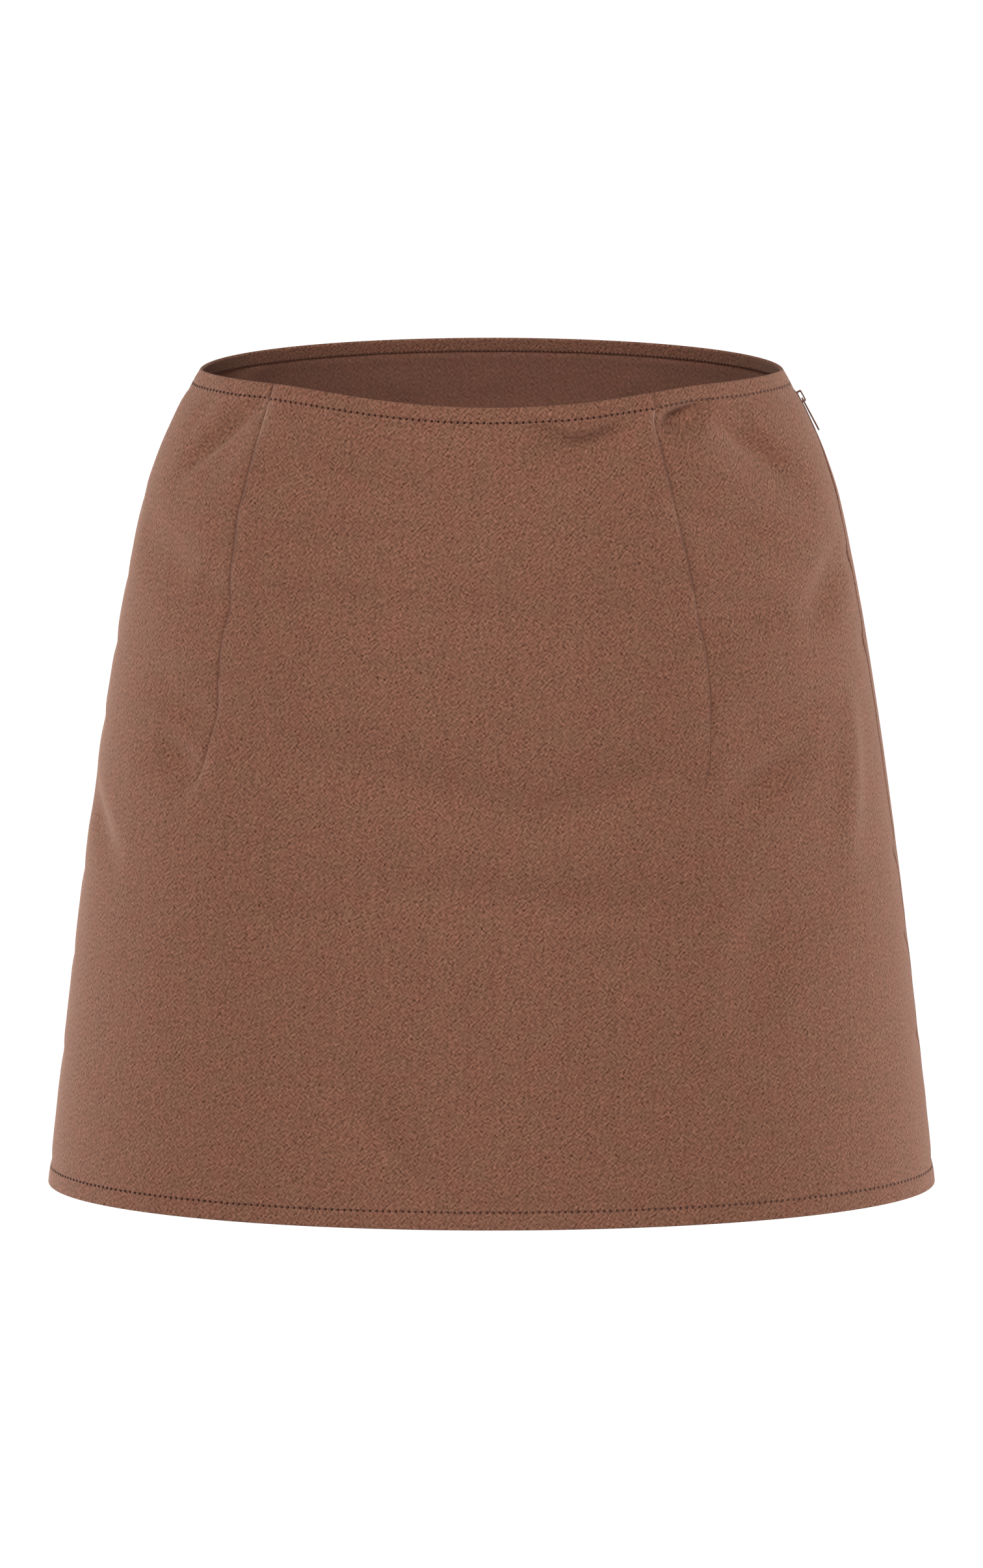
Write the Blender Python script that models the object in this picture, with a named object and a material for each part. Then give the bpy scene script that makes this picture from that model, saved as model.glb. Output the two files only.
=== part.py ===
"""Micro mini skirt, filled out as when it is worn.

A woven skirt of two panels: a front shaped by two long waist darts, and a plain back. They meet at the
side seams, their waist and hem edges are turned in, and a concealed zip closes the wearer's left seam.

Frame: metres, +Z up, origin at the centre of the waist, level with the top of the side seams. The front
faces -Y and the wearer's left is +X. A place on the cloth has a turn, the angle round the body in degrees
(0 front centre, 90 wearer's left, 180 back centre, -90 wearer's right), and a drop, its distance below the
origin's level in millimetres. A place's depth in the cloth is counted inwards from the outer face.
"""

import math

import bmesh
import bpy
import numpy as np
from mathutils import Matrix, Vector

# ---------------------------------------------------------------- driving dimensions, in millimetres
LENGTH = 345.0  # side seam, from the waist edge to the hem
CLOTH = 1.2  # wall of one layer of cloth
GAP = 0.3  # between pieces that meet at a seam or lie on each other
TURNING = 0.9  # wall of a turned-in edge
WAIST_TURNING = 6.5  # width of the waist edge that is turned in and topstitched
HEM_TURNING = 8.0
FRONT_DIP = 5.8  # how far the front waist edge sinks at the centre
FRONT_DIP_REACH = 48.0  # turn at which that dip has run out, in degrees
BACK_RISE = 2.9  # how far the back waist edge climbs at the centre
DART_DEPTH = 0.6  # the crease that a dart's stitching pulls into the outer face
DART_HALF_WIDTH = 3.0
DART_LENGTH = 166.0

ZIP_TAPE = 0.6
ZIP_TAPE_WIDTH = 11.0
ZIP_COIL = 1.4
ZIP_COIL_HALF_WIDTH = 2.2
ZIP_TOP = 8.0  # first row of the tapes, just under the waist turning
ZIP_COIL_TOP = 19.0  # the coil comes out of the slider here
ZIP_BOTTOM = 190.0
SLIDER_DROP = 9.2  # top of the slider's body
SLIDER_BODY = (8.2, 6.0, 2.0)  # length down the seam, width, thickness
SLIDER_DEPTH = 2.9  # depth of the body's outer face in the cloth
NECK = (5.3, 0.8)  # length and thickness of the blade that stands through the seam
NECK_START = 0.5
BRIDGE_HEIGHT = 1.95  # top of the loop that holds the pull tab, over the cloth
BRIDGE_WALL = 0.8
EYE_FLOOR = 0.15
EYE_HEIGHT = 1.2
PULL_LENGTH = 15.0
PULL_WIDTH = 4.0
PULL_WALL = 0.6
PULL_EYE = (2.4, 1.9)  # the hole round the bridge: length and width
PULL_SHOULDER = 0.8  # metal left round that hole
PIVOT_CLEARANCE = 0.4  # from the pull's cross bar to the foot of the bridge
SLIDER_BEVEL = 0.5
STOP_LENGTH = 3.0
STOP_BEVEL = 0.3

# Sections of the body of the skirt. The front half is an oval whose sides are pinched near the waist:
# roundness 1 is an ellipse, and more than 1 draws the sides in to a soft edge.
SECTIONS = (
    # drop, half width, front depth, back depth, front roundness
    (0.0, 121.8, 86.0, 88.0, 1.30),
    (12.0, 128.9, 88.5, 91.8, 1.26),
    (25.0, 135.3, 91.2, 96.5, 1.21),
    (48.0, 144.0, 95.5, 104.0, 1.13),
    (80.0, 151.2, 100.0, 112.0, 1.06),
    (136.0, 160.9, 105.5, 118.5, 1.00),
    (202.0, 170.2, 110.0, 121.5, 1.00),
    (290.0, 180.7, 114.0, 122.5, 1.00),
    (345.0, 186.9, 116.5, 123.5, 1.00),
)

LEFT_SEAM = (
    # drop, distance in front of the side line
    (0.0, 0.5),
    (17.0, 0.8),
    (27.0, 2.4),
    (41.0, 6.0),
    (60.0, 9.0),
    (90.0, 11.0),
    (130.0, 12.5),
    (172.0, 12.3),
    (205.0, 10.0),
    (260.0, 5.5),
    (345.0, 2.0),
)
RIGHT_SEAM_BEHIND = 6.0  # the other seam lies this far behind the side line

SEAM_OPENING = (
    # drop, gap between the panels at the zip: it parts round the slider and over the hip
    (0.0, 0.3),
    (7.0, 0.3),
    (8.0, 1.6),
    (19.0, 1.6),
    (27.0, 1.1),
    (43.0, 1.7),
    (64.0, 0.3),
)

RIGHT_DART = (
    # drop, turn
    (0.0, -48.2),
    (24.0, -46.8),
    (69.0, -46.6),
    (114.0, -46.0),
    (145.0, -46.7),
    (166.0, -49.0),
)
LEFT_DART = (
    # drop, turn
    (0.0, 33.2),
    (15.0, 31.7),
    (40.0, 31.9),
    (72.0, 33.3),
    (100.0, 34.6),
    (133.0, 34.7),
    (166.0, 32.8),
)

CREASE_RADIUS = 140.0  # turns an angle round the body into a length on the cloth
CREASES = (
    # from turn, drop, to turn, drop, half width, depth (a ridge's is negative)
    (-50, 10, -66, 37, 7, 1.5),
    (-44, 16, -61, 45, 8, -0.9),
    (-40, 32, -12, 41, 12, 1.0),
    (-48, 67, -14, 60, 11, 1.0),
    (-14, 60, 8, 31, 12, 0.8),
    (-74, 70, -54, 78, 10, 1.4),
    (-57, 92, -24, 86, 9, 1.0),
    (-24, 88, 35, 96, 10, 0.8),
    (-60, 131, -38, 135, 9, 1.1),
    (-60, 155, -49, 156, 8, 1.4),
    (-48, 150, -22, 150, 12, 1.0),
    (-22, 152, 6, 176, 15, 1.4),
    (6, 176, 27, 158, 13, 1.3),
    (36, 168, 52, 154, 9, 1.6),
    (-20, 203, 31, 217, 13, 1.0),
    (-37, 220, -20, 216, 10, 0.7),
    (8, 231, 28, 238, 11, 0.8),
    (9, 28, 24, 19, 6, 1.6),
    (8, 17, 22, 11, 6, -0.8),
    (33, 15, 43, 11, 5, 1.3),
    (46, 16, 64, 39, 9, 1.4),
    (35, 54, 57, 66, 10, 1.2),
    (36, 90, 62, 94, 8, 1.2),
    (61, 97, 73, 80, 9, 1.9),
    (36, 140, 55, 137, 9, 1.2),
    (43, 213, 37, 258, 12, 1.1),
    (41, 223, 57, 215, 9, 0.9),
    (-21, 281, -9, 331, 9, 1.0),
    (-88, 178, -69, 198, 8, 1.6),
    (68, 138, 61, 196, 9, -1.2),
    (112, 14, 128, 34, 9, 1.4),
    (-128, 12, -114, 36, 9, 1.5),
    (150, 32, 196, 40, 12, 1.0),
    (-146, 62, -104, 76, 12, 1.3),
    (104, 66, 140, 58, 11, 1.2),
    (146, 92, 204, 98, 14, -1.2),
    (100, 118, 132, 128, 11, 1.1),
    (-134, 132, -98, 124, 11, 1.2),
    (140, 168, 180, 182, 14, 1.5),
    (180, 182, 222, 164, 14, 1.4),
    (110, 206, 168, 220, 13, 0.9),
    (-150, 228, -112, 212, 12, 1.0),
    (124, 262, 134, 322, 14, 1.3),
    (-130, 276, -122, 326, 13, 1.0),
)

# Rows of the cloth, as distances down from the waist edge; the turnings and the zip end on rows.
ROWS = (
    0.0, WAIST_TURNING, ZIP_TOP, 13.0, ZIP_COIL_TOP, 26.0, 34.0, 43.0, 53.0, 64.0, 76.0, 88.0, 100.0, 112.0,
    125.0, 138.0, 150.0, 162.0, 175.0, ZIP_BOTTOM, 206.0, 224.0, 243.0, 263.0, 284.0, 305.0, 323.0,
    LENGTH - HEM_TURNING, LENGTH,
)

# Columns of the cloth between its seams, darts and zip.
RIGHT_COLUMNS = 10
MIDDLE_COLUMNS = 15
LEFT_COLUMNS = 9
BACK_COLUMNS = 26

MM = 0.001


# ---------------------------------------------------------------- form of the cloth
def smooth_table(rows, at):
    """Every column of a table at one value of its first column, on a smooth curve through its rows."""
    table = np.array(rows)
    place = table[:, 0]
    step = np.diff(place)
    slope = np.diff(table, axis=0) / step[:, None]
    tangent = np.empty_like(table)
    tangent[0] = slope[0]
    tangent[-1] = slope[-1]
    before = step[:-1, None]
    after = step[1:, None]
    tangent[1:-1] = (slope[:-1] * after + slope[1:] * before) / (before + after)
    if at <= place[0]:
        return table[0] + tangent[0] * (at - place[0])
    if at >= place[-1]:
        return table[-1] + tangent[-1] * (at - place[-1])
    i = int(np.searchsorted(place, at)) - 1
    t = (at - place[i]) / step[i]
    start = (1 + 2 * t) * (1 - t) ** 2 * table[i] + t * (1 - t) ** 2 * step[i] * tangent[i]
    end = t * t * (3 - 2 * t) * table[i + 1] + t * t * (t - 1) * step[i] * tangent[i + 1]
    return start + end


def wrapped(turn):
    """The same turn, from -180 to 180 degrees."""
    return (turn + 180) % 360 - 180


def plain_point(turn, drop):
    """A point of the outer face before its creases."""
    _, half_width, front, back, roundness = smooth_table(SECTIONS, drop)
    across = math.sin(math.radians(turn))
    forward = math.cos(math.radians(turn))
    depth = -front * forward**roundness if forward > 0 else -back * forward
    return np.array((half_width * across, depth, -drop))


def crease_depth(turn, drop):
    """How far the creases press the outer face in at one place."""
    table = np.array(CREASES, dtype=float)
    to_length = math.radians(1) * CREASE_RADIUS
    along = (table[:, 2:4] - table[:, 0:2]) * (to_length, 1)
    turns_away = wrapped(turn - table[:, 0])
    away = np.column_stack((turns_away * to_length, drop - table[:, 1]))
    length = np.hypot(along[:, 0], along[:, 1])
    t = np.clip((away * along).sum(axis=1) / length**2, 0, 1)
    rest = away - along * t[:, None]
    distance = np.hypot(rest[:, 0], rest[:, 1])
    swell = 0.45 + 0.55 * np.sin(math.pi * t)
    return float((table[:, 5] * swell * np.exp(-((distance / table[:, 4]) ** 2))).sum())


def dart_turn(dart, drop):
    return smooth_table(dart, min(drop, dart[-1][0]))[1]


def dart_pull(turn, drop):
    """How far the darts' stitching draws the outer face in: most at the waist, nothing at the tip."""
    if drop > DART_LENGTH:
        return 0.0
    pull = 0.0
    for dart in (RIGHT_DART, LEFT_DART):
        distance = math.radians(abs(turn - dart_turn(dart, drop))) * CREASE_RADIUS
        pull += DART_DEPTH * max(0.0, 1 - distance / DART_HALF_WIDTH)
    return pull * min(1.0, (DART_LENGTH - drop) / HEM_TURNING)


def outer_point(turn, drop):
    """A point of the outer face with its creases, without the darts' stitching."""
    side = math.radians(turn)
    outwards = np.array((math.sin(side), -math.cos(side), 0.0))
    return plain_point(turn, drop) - outwards * crease_depth(turn, drop)


def outward(turn, drop):
    """The unit normal of the outer face."""
    around = outer_point(turn + 0.5, drop) - outer_point(turn - 0.5, drop)
    down = outer_point(turn, drop + 1.0) - outer_point(turn, drop - 1.0)
    normal = np.cross(down, around)
    return normal / np.linalg.norm(normal)


def waist_edge(turn):
    """The drop of the waist edge, which dips at the front centre and climbs at the back."""
    if abs(turn) < FRONT_DIP_REACH:
        return FRONT_DIP * (1 - (turn / FRONT_DIP_REACH) ** 2) ** 2
    return BACK_RISE * min(0.0, math.cos(math.radians(turn)))


def drop_of(turn, row):
    """The drop of a row at one turn: rows follow the waist edge at the top and are level at the hem."""
    return row + waist_edge(turn) * (1 - row / LENGTH)


# ---------------------------------------------------------------- seams and columns
def turn_beside(turn, drop, distance):
    """The turn of the place that lies a distance round the body from another, negative to the right."""
    start = plain_point(turn, drop)
    near = 0.0
    far = math.copysign(40.0, distance)
    for _ in range(30):
        middle = (near + far) / 2
        if np.linalg.norm(plain_point(turn + middle, drop) - start) < abs(distance):
            near = middle
        else:
            far = middle
    return turn + near


def left_seam(drop):
    """The turn of the seam that holds the zip."""
    _, _, front, _, roundness = smooth_table(SECTIONS, drop)
    forward = smooth_table(LEFT_SEAM, drop)[1]
    return math.degrees(math.acos((forward / front) ** (1 / roundness)))


def right_seam(drop):
    back = smooth_table(SECTIONS, drop)[3]
    return -90.0 - math.degrees(math.asin(RIGHT_SEAM_BEHIND / back))


def seam_opening(drop):
    drops, gaps = np.array(SEAM_OPENING).T
    return float(np.interp(drop, drops, gaps))


def spread(start, end, drop, count):
    """Turns that divide the way between two turns into equal lengths, without the two ends."""
    samples = np.linspace(start, end, 41)
    points = np.array([plain_point(turn, drop) for turn in samples])
    lengths = np.linalg.norm(np.diff(points, axis=0), axis=1)
    travelled = np.concatenate(((0.0,), np.cumsum(lengths)))
    wanted = travelled[-1] * np.arange(1, count + 1) / (count + 1)
    return list(np.interp(wanted, travelled, samples))


def zip_side(drop, towards):
    """Turns of the columns beside the zip: the panel's edge, the coil's edge and the tape's edge."""
    seam = left_seam(drop)
    distances = (seam_opening(drop) / 2, ZIP_COIL_HALF_WIDTH, ZIP_TAPE_WIDTH)
    return [turn_beside(seam, drop, towards * distance) for distance in distances]


def dart_columns(dart, drop):
    middle = dart_turn(dart, drop)
    half = math.degrees(DART_HALF_WIDTH / CREASE_RADIUS)
    return [middle - half, middle, middle + half]


def front_columns(drop):
    """Turns of the front panel's columns, from the wearer's right seam to the left."""
    start = turn_beside(right_seam(drop), drop, GAP / 2)
    right = dart_columns(RIGHT_DART, drop)
    left = dart_columns(LEFT_DART, drop)
    edge, coil, tape = zip_side(drop, -1)
    columns = [start] + spread(start, right[0], drop, RIGHT_COLUMNS) + right
    columns += spread(right[-1], left[0], drop, MIDDLE_COLUMNS) + left
    return columns + spread(left[-1], tape, drop, LEFT_COLUMNS) + [tape, coil, edge]


def back_columns(drop):
    """Turns of the back panel's columns, from the wearer's left seam to the right."""
    edge, coil, tape = zip_side(drop, 1)
    end = 360 + turn_beside(right_seam(drop), drop, -GAP / 2)
    return [edge, coil, tape] + spread(tape, end, drop, BACK_COLUMNS) + [end]


def grid_of(columns, rows):
    """Turn and drop of every corner of a piece, row by row."""
    grid = []
    for row in rows:
        turns = [wrapped(turn) for turn in columns(row)]
        grid.append([(turn, drop_of(turn, row)) for turn in turns])
    return grid


# ---------------------------------------------------------------- solids
def material(name, rgb, roughness, metallic=0.0):
    """A principled material from the display values of its colour."""
    linear = [((c + 0.055) / 1.055) ** 2.4 if c > 0.04045 else c / 12.92 for c in rgb]
    finish = bpy.data.materials.new(name)
    finish.use_nodes = True
    shader = finish.node_tree.nodes["Principled BSDF"]
    shader.inputs["Base Color"].default_value = (*linear, 1.0)
    shader.inputs["Roughness"].default_value = roughness
    shader.inputs["Metallic"].default_value = metallic
    return finish


def add_object(name, mesh, finish, matrix=None):
    item = bpy.data.objects.new(name, mesh)
    mesh.materials.append(finish)
    bpy.context.scene.collection.objects.link(item)
    if matrix is not None:
        item.matrix_world = matrix
    return item


def add_wall(name, grid, depth, thickness, finish, dart_crease=False):
    """A closed wall on a grid of places, whose outer face lies at a depth in the cloth."""
    row_count = len(grid)
    column_count = len(grid[0])
    outer = []
    inner = []
    for row in grid:
        for turn, drop in row:
            point = outer_point(turn, drop)
            normal = outward(turn, drop)
            pull = dart_pull(turn, drop) if dart_crease else 0.0
            outer.append((point - normal * (depth + pull)) * MM)
            inner.append((point - normal * (depth + thickness)) * MM)
    size = row_count * column_count
    faces = []
    for i in range(row_count - 1):
        for j in range(column_count - 1):
            a = i * column_count + j
            b = a + column_count
            faces.append((a, b, b + 1, a + 1))
            faces.append((size + a, size + a + 1, size + b + 1, size + b))
    rim = list(range(column_count))
    rim += [i * column_count + column_count - 1 for i in range(1, row_count)]
    rim += [size - 2 - j for j in range(column_count - 1)]
    rim += [i * column_count for i in range(row_count - 2, 0, -1)]
    for a, b in zip(rim, rim[1:] + rim[:1]):
        faces.append((a, b, size + b, size + a))
    mesh = bpy.data.meshes.new(name)
    mesh.from_pydata([tuple(point) for point in outer + inner], [], faces)
    mesh.shade_smooth()
    mesh.set_sharp_from_angle(angle=math.radians(40))
    return add_object(name, mesh, finish)


def box_mesh(name, low, high):
    """A box between two corners, in millimetres."""
    mesh = bpy.data.meshes.new(name)
    shape = bmesh.new()
    bmesh.ops.create_cube(shape, size=1.0)
    for corner in shape.verts:
        corner.co = [(high[k] if corner.co[k] > 0 else low[k]) * MM for k in range(3)]
    shape.to_mesh(mesh)
    shape.free()
    return mesh


def add_cutter(name, low, high, matrix, finish):
    cutter = add_object(name, box_mesh(name, low, high), finish, matrix)
    cutter.hide_render = True
    cutter.display_type = "WIRE"
    return cutter


def add_boolean(item, operation, other):
    step = item.modifiers.new(operation.title(), "BOOLEAN")
    step.operation = operation
    step.object = other


def add_bevel(item, width):
    step = item.modifiers.new("Bevel", "BEVEL")
    step.width = width * MM
    step.segments = 1


# ---------------------------------------------------------------- panels and turned edges
def rows_between(first, last):
    return [row for row in ROWS if first <= row <= last]


def make_panel(side, columns, finish):
    add_wall(f"{side}_panel", grid_of(columns, ROWS), 0.0, CLOTH, finish, dart_crease=True)


def make_turnings(side, columns, finish):
    """The waist and hem edges, folded to the inside of their panel."""
    depth = CLOTH + GAP
    waist = grid_of(columns, rows_between(0.0, WAIST_TURNING))
    hem = grid_of(columns, rows_between(LENGTH - HEM_TURNING, LENGTH))
    add_wall(f"{side}_waist_turning", waist, depth, TURNING, finish)
    add_wall(f"{side}_hem_turning", hem, depth, TURNING, finish)


# ---------------------------------------------------------------- zip
def make_tapes(finish):
    rows = rows_between(ZIP_TOP, ZIP_BOTTOM)
    depth = CLOTH + GAP
    add_wall("zip_tape_front", grid_of(lambda row: zip_side(row, -1)[::-1], rows), depth, ZIP_TAPE, finish)
    add_wall("zip_tape_back", grid_of(lambda row: zip_side(row, 1), rows), depth, ZIP_TAPE, finish)


def make_coil(finish):
    """The strip that the closed teeth take up, behind both tapes."""
    rows = rows_between(ZIP_COIL_TOP, ZIP_BOTTOM)
    depth = CLOTH + GAP + ZIP_TAPE + GAP
    grid = grid_of(lambda row: (zip_side(row, -1)[1], left_seam(row), zip_side(row, 1)[1]), rows)
    add_wall("zip_coil", grid, depth, ZIP_COIL, finish)


def seam_frame(drop):
    """A frame on the zip's seam: X down the seam, Y to the back, Z out of the cloth."""
    upper = outer_point(left_seam(drop), drop)
    lower = outer_point(left_seam(drop + SLIDER_BODY[0]), drop + SLIDER_BODY[0])
    down = Vector((lower[0] - upper[0], 0.0, lower[2] - upper[2])).normalized()
    back = Vector((0.0, 1.0, 0.0))
    out = down.cross(back)
    turned = Matrix((down, back, out)).transposed().to_4x4()
    return Matrix.Translation(Vector(upper) * MM) @ turned


def make_slider(finish):
    """The slider's body inside the cloth, with a blade through the seam and a bridge outside."""
    frame = seam_frame(SLIDER_DROP)
    length, width, thickness = SLIDER_BODY
    low = (0.0, -width / 2, -SLIDER_DEPTH - thickness)
    slider = add_object("zip_slider", box_mesh("zip_slider", low, (length, width / 2, -SLIDER_DEPTH)), finish, frame)
    add_bevel(slider, SLIDER_BEVEL)
    end = NECK_START + NECK[0]
    half = NECK[1] / 2
    blade = add_cutter(
        "slider_blade", (NECK_START, -half, -SLIDER_DEPTH - thickness / 2), (end, half, BRIDGE_HEIGHT), frame, finish
    )
    eye = add_cutter(
        "slider_eye",
        (NECK_START + BRIDGE_WALL, -width / 2, EYE_FLOOR),
        (end - BRIDGE_WALL, width / 2, EYE_FLOOR + EYE_HEIGHT),
        frame,
        finish,
    )
    add_boolean(slider, "UNION", blade)
    add_boolean(slider, "DIFFERENCE", eye)


def pull_outline():
    """Half of the pull tab's outline, from its top to its round end, as distance down and half width."""
    round_end = PULL_WIDTH / 2
    neck = PULL_EYE[1] / 2 + PULL_SHOULDER
    outline = [(-PULL_WALL / 2, neck - PULL_SHOULDER / 2), (0.0, neck)]
    outline += [(PULL_EYE[0] + PULL_SHOULDER, neck), (PULL_LENGTH - round_end, round_end)]
    for step in range(1, 5):
        angle = math.radians(90 * step / 5)
        outline.append((PULL_LENGTH - round_end + round_end * math.sin(angle), round_end * math.cos(angle)))
    return outline


def make_pull(finish):
    """The pull tab, which hangs down the seam from its cross bar; its origin is on the cross bar."""
    frame = seam_frame(SLIDER_DROP)
    down = NECK_START + NECK[0] - BRIDGE_WALL - PIVOT_CLEARANCE - PULL_WALL / 2
    pivot = frame @ Vector((down * MM, 0.0, (EYE_FLOOR + EYE_HEIGHT / 2) * MM))
    hinge = Matrix.Translation(pivot) @ frame.to_3x3().to_4x4()
    half = pull_outline()
    loop = [(x, y) for x, y in half] + [(x, -y) for x, y in reversed(half)]
    shape = bmesh.new()
    corners = [shape.verts.new((x * MM, y * MM, -PULL_WALL / 2 * MM)) for x, y in loop]
    face = shape.faces.new(corners)
    raised = bmesh.ops.extrude_face_region(shape, geom=[face])
    moved = [item for item in raised["geom"] if isinstance(item, bmesh.types.BMVert)]
    bmesh.ops.translate(shape, verts=moved, vec=(0.0, 0.0, PULL_WALL * MM))
    bmesh.ops.recalc_face_normals(shape, faces=shape.faces)
    mesh = bpy.data.meshes.new("zip_pull")
    shape.to_mesh(mesh)
    shape.free()
    pull = add_object("zip_pull", mesh, finish, hinge)
    low = (PULL_WALL / 2, -PULL_EYE[1] / 2, -PULL_WALL)
    high = (PULL_WALL / 2 + PULL_EYE[0], PULL_EYE[1] / 2, PULL_WALL)
    add_boolean(pull, "DIFFERENCE", add_cutter("pull_eye", low, high, hinge, finish))


def make_bottom_stop(finish):
    frame = seam_frame(ZIP_BOTTOM)
    depth = CLOTH + GAP + ZIP_TAPE + GAP
    low = (GAP, -ZIP_COIL_HALF_WIDTH, -depth - ZIP_COIL)
    high = (GAP + STOP_LENGTH, ZIP_COIL_HALF_WIDTH, -depth)
    stop = add_object("zip_bottom_stop", box_mesh("zip_bottom_stop", low, high), finish, frame)
    add_bevel(stop, STOP_BEVEL)


def main():
    for item in list(bpy.data.objects):
        bpy.data.objects.remove(item, do_unlink=True)
    face = material("brown_twill_face", (0.52, 0.36, 0.29), 0.85)
    reverse = material("brown_twill_reverse", (0.46, 0.31, 0.25), 0.88)
    tape = material("brown_zip_tape", (0.30, 0.19, 0.15), 0.8)
    coil = material("brown_nylon_coil", (0.27, 0.17, 0.13), 0.45)
    metal = material("brown_lacquered_zinc", (0.33, 0.21, 0.16), 0.35, 0.6)
    make_panel("front", front_columns, face)
    make_panel("back", back_columns, face.copy())
    make_turnings("front", front_columns, reverse)
    make_turnings("back", back_columns, reverse.copy())
    make_tapes(tape)
    make_coil(coil)
    make_slider(metal)
    make_pull(metal.copy())
    make_bottom_stop(metal.copy())


main()
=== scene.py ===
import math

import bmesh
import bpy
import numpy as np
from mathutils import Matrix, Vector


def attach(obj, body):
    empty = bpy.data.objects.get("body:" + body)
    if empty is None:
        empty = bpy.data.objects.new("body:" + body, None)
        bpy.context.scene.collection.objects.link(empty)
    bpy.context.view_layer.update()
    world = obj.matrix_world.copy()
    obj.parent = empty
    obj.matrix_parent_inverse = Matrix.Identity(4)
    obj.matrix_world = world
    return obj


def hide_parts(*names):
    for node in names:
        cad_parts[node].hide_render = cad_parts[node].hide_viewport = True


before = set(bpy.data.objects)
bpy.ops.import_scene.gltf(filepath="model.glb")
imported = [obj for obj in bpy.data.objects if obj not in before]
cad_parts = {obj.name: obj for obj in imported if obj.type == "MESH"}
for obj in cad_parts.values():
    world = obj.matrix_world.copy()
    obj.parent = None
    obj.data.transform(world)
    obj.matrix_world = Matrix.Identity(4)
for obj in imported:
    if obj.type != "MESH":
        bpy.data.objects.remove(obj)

# Looks of the micro mini skirt. The cloth is a thin shell on the form of its solids, folded over at the
# waist and hem, with its creases, darts, seams, stitching and concealed zip. Lengths in the tables are
# millimetres on the cloth; meshes are metres in the frame of the solids. A place on the cloth has a
# turn, the angle round the body in degrees (0 front centre, 90 wearer's left, 180 back centre), a drop,
# its distance below the origin's level, and a depth, counted inwards from the outer face. A row is a
# distance down from the waist edge.

bl_info = {
    "name": "Micro Mini Skirt",
    "version": (1, 0, 0),
    "blender": (4, 5, 0),
    "location": "3D View > Sidebar > Skirt",
    "description": "Dresses the skirt's solids in melange twill, with its sewing and its concealed zip",
    "category": "Object",
}

MM = 0.001
SKIRT = "skirt"
PULL_TAB = "pull_tab"

# ---- form of the worn skirt, as its solids have it
LENGTH = 345.0  # side seam, from the waist edge to the hem
FRONT_DIP = 5.8  # how far the front waist edge sinks at the centre
FRONT_DIP_REACH = 48.0  # turn at which that dip has run out
BACK_RISE = 2.9  # how far the back waist edge climbs at the centre
RIGHT_SEAM_BEHIND = 6.0  # how far the plain side seam lies behind the side line
CREASE_RADIUS = 140.0  # turns an angle round the body into a length on the cloth
DART_LENGTH = 166.0
CREASE_RELIEF = 2.4  # depth of a crease here, for one in the solids
SEAM_GAP = 0.3

SECTIONS = (
    # drop, half width, front depth, back depth, front roundness
    (0.0, 121.8, 86.0, 88.0, 1.30),
    (12.0, 128.9, 88.5, 91.8, 1.26),
    (25.0, 135.3, 91.2, 96.5, 1.21),
    (48.0, 144.0, 95.5, 104.0, 1.13),
    (80.0, 151.2, 100.0, 112.0, 1.06),
    (136.0, 160.9, 105.5, 118.5, 1.00),
    (202.0, 170.2, 110.0, 121.5, 1.00),
    (290.0, 180.7, 114.0, 122.5, 1.00),
    (345.0, 186.9, 116.5, 123.5, 1.00),
)

LEFT_SEAM = (
    # drop, distance in front of the side line
    (0.0, 0.5),
    (17.0, 0.8),
    (27.0, 2.4),
    (41.0, 6.0),
    (60.0, 9.0),
    (90.0, 11.0),
    (130.0, 12.5),
    (172.0, 12.3),
    (205.0, 10.0),
    (260.0, 5.5),
    (345.0, 2.0),
)

SEAM_OPENING = (
    # drop, gap between the panels at the zip: it parts round the slider and over the hip
    (0.0, 0.3),
    (7.0, 0.3),
    (8.0, 1.6),
    (19.0, 1.6),
    (27.0, 1.1),
    (43.0, 1.7),
    (64.0, 0.3),
)

RIGHT_DART = (
    # drop, turn
    (0.0, -48.2),
    (24.0, -46.8),
    (69.0, -46.6),
    (114.0, -46.0),
    (145.0, -46.7),
    (166.0, -49.0),
)
LEFT_DART = (
    # drop, turn
    (0.0, 33.2),
    (15.0, 31.7),
    (40.0, 31.9),
    (72.0, 33.3),
    (100.0, 34.6),
    (133.0, 34.7),
    (166.0, 32.8),
)

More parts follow.
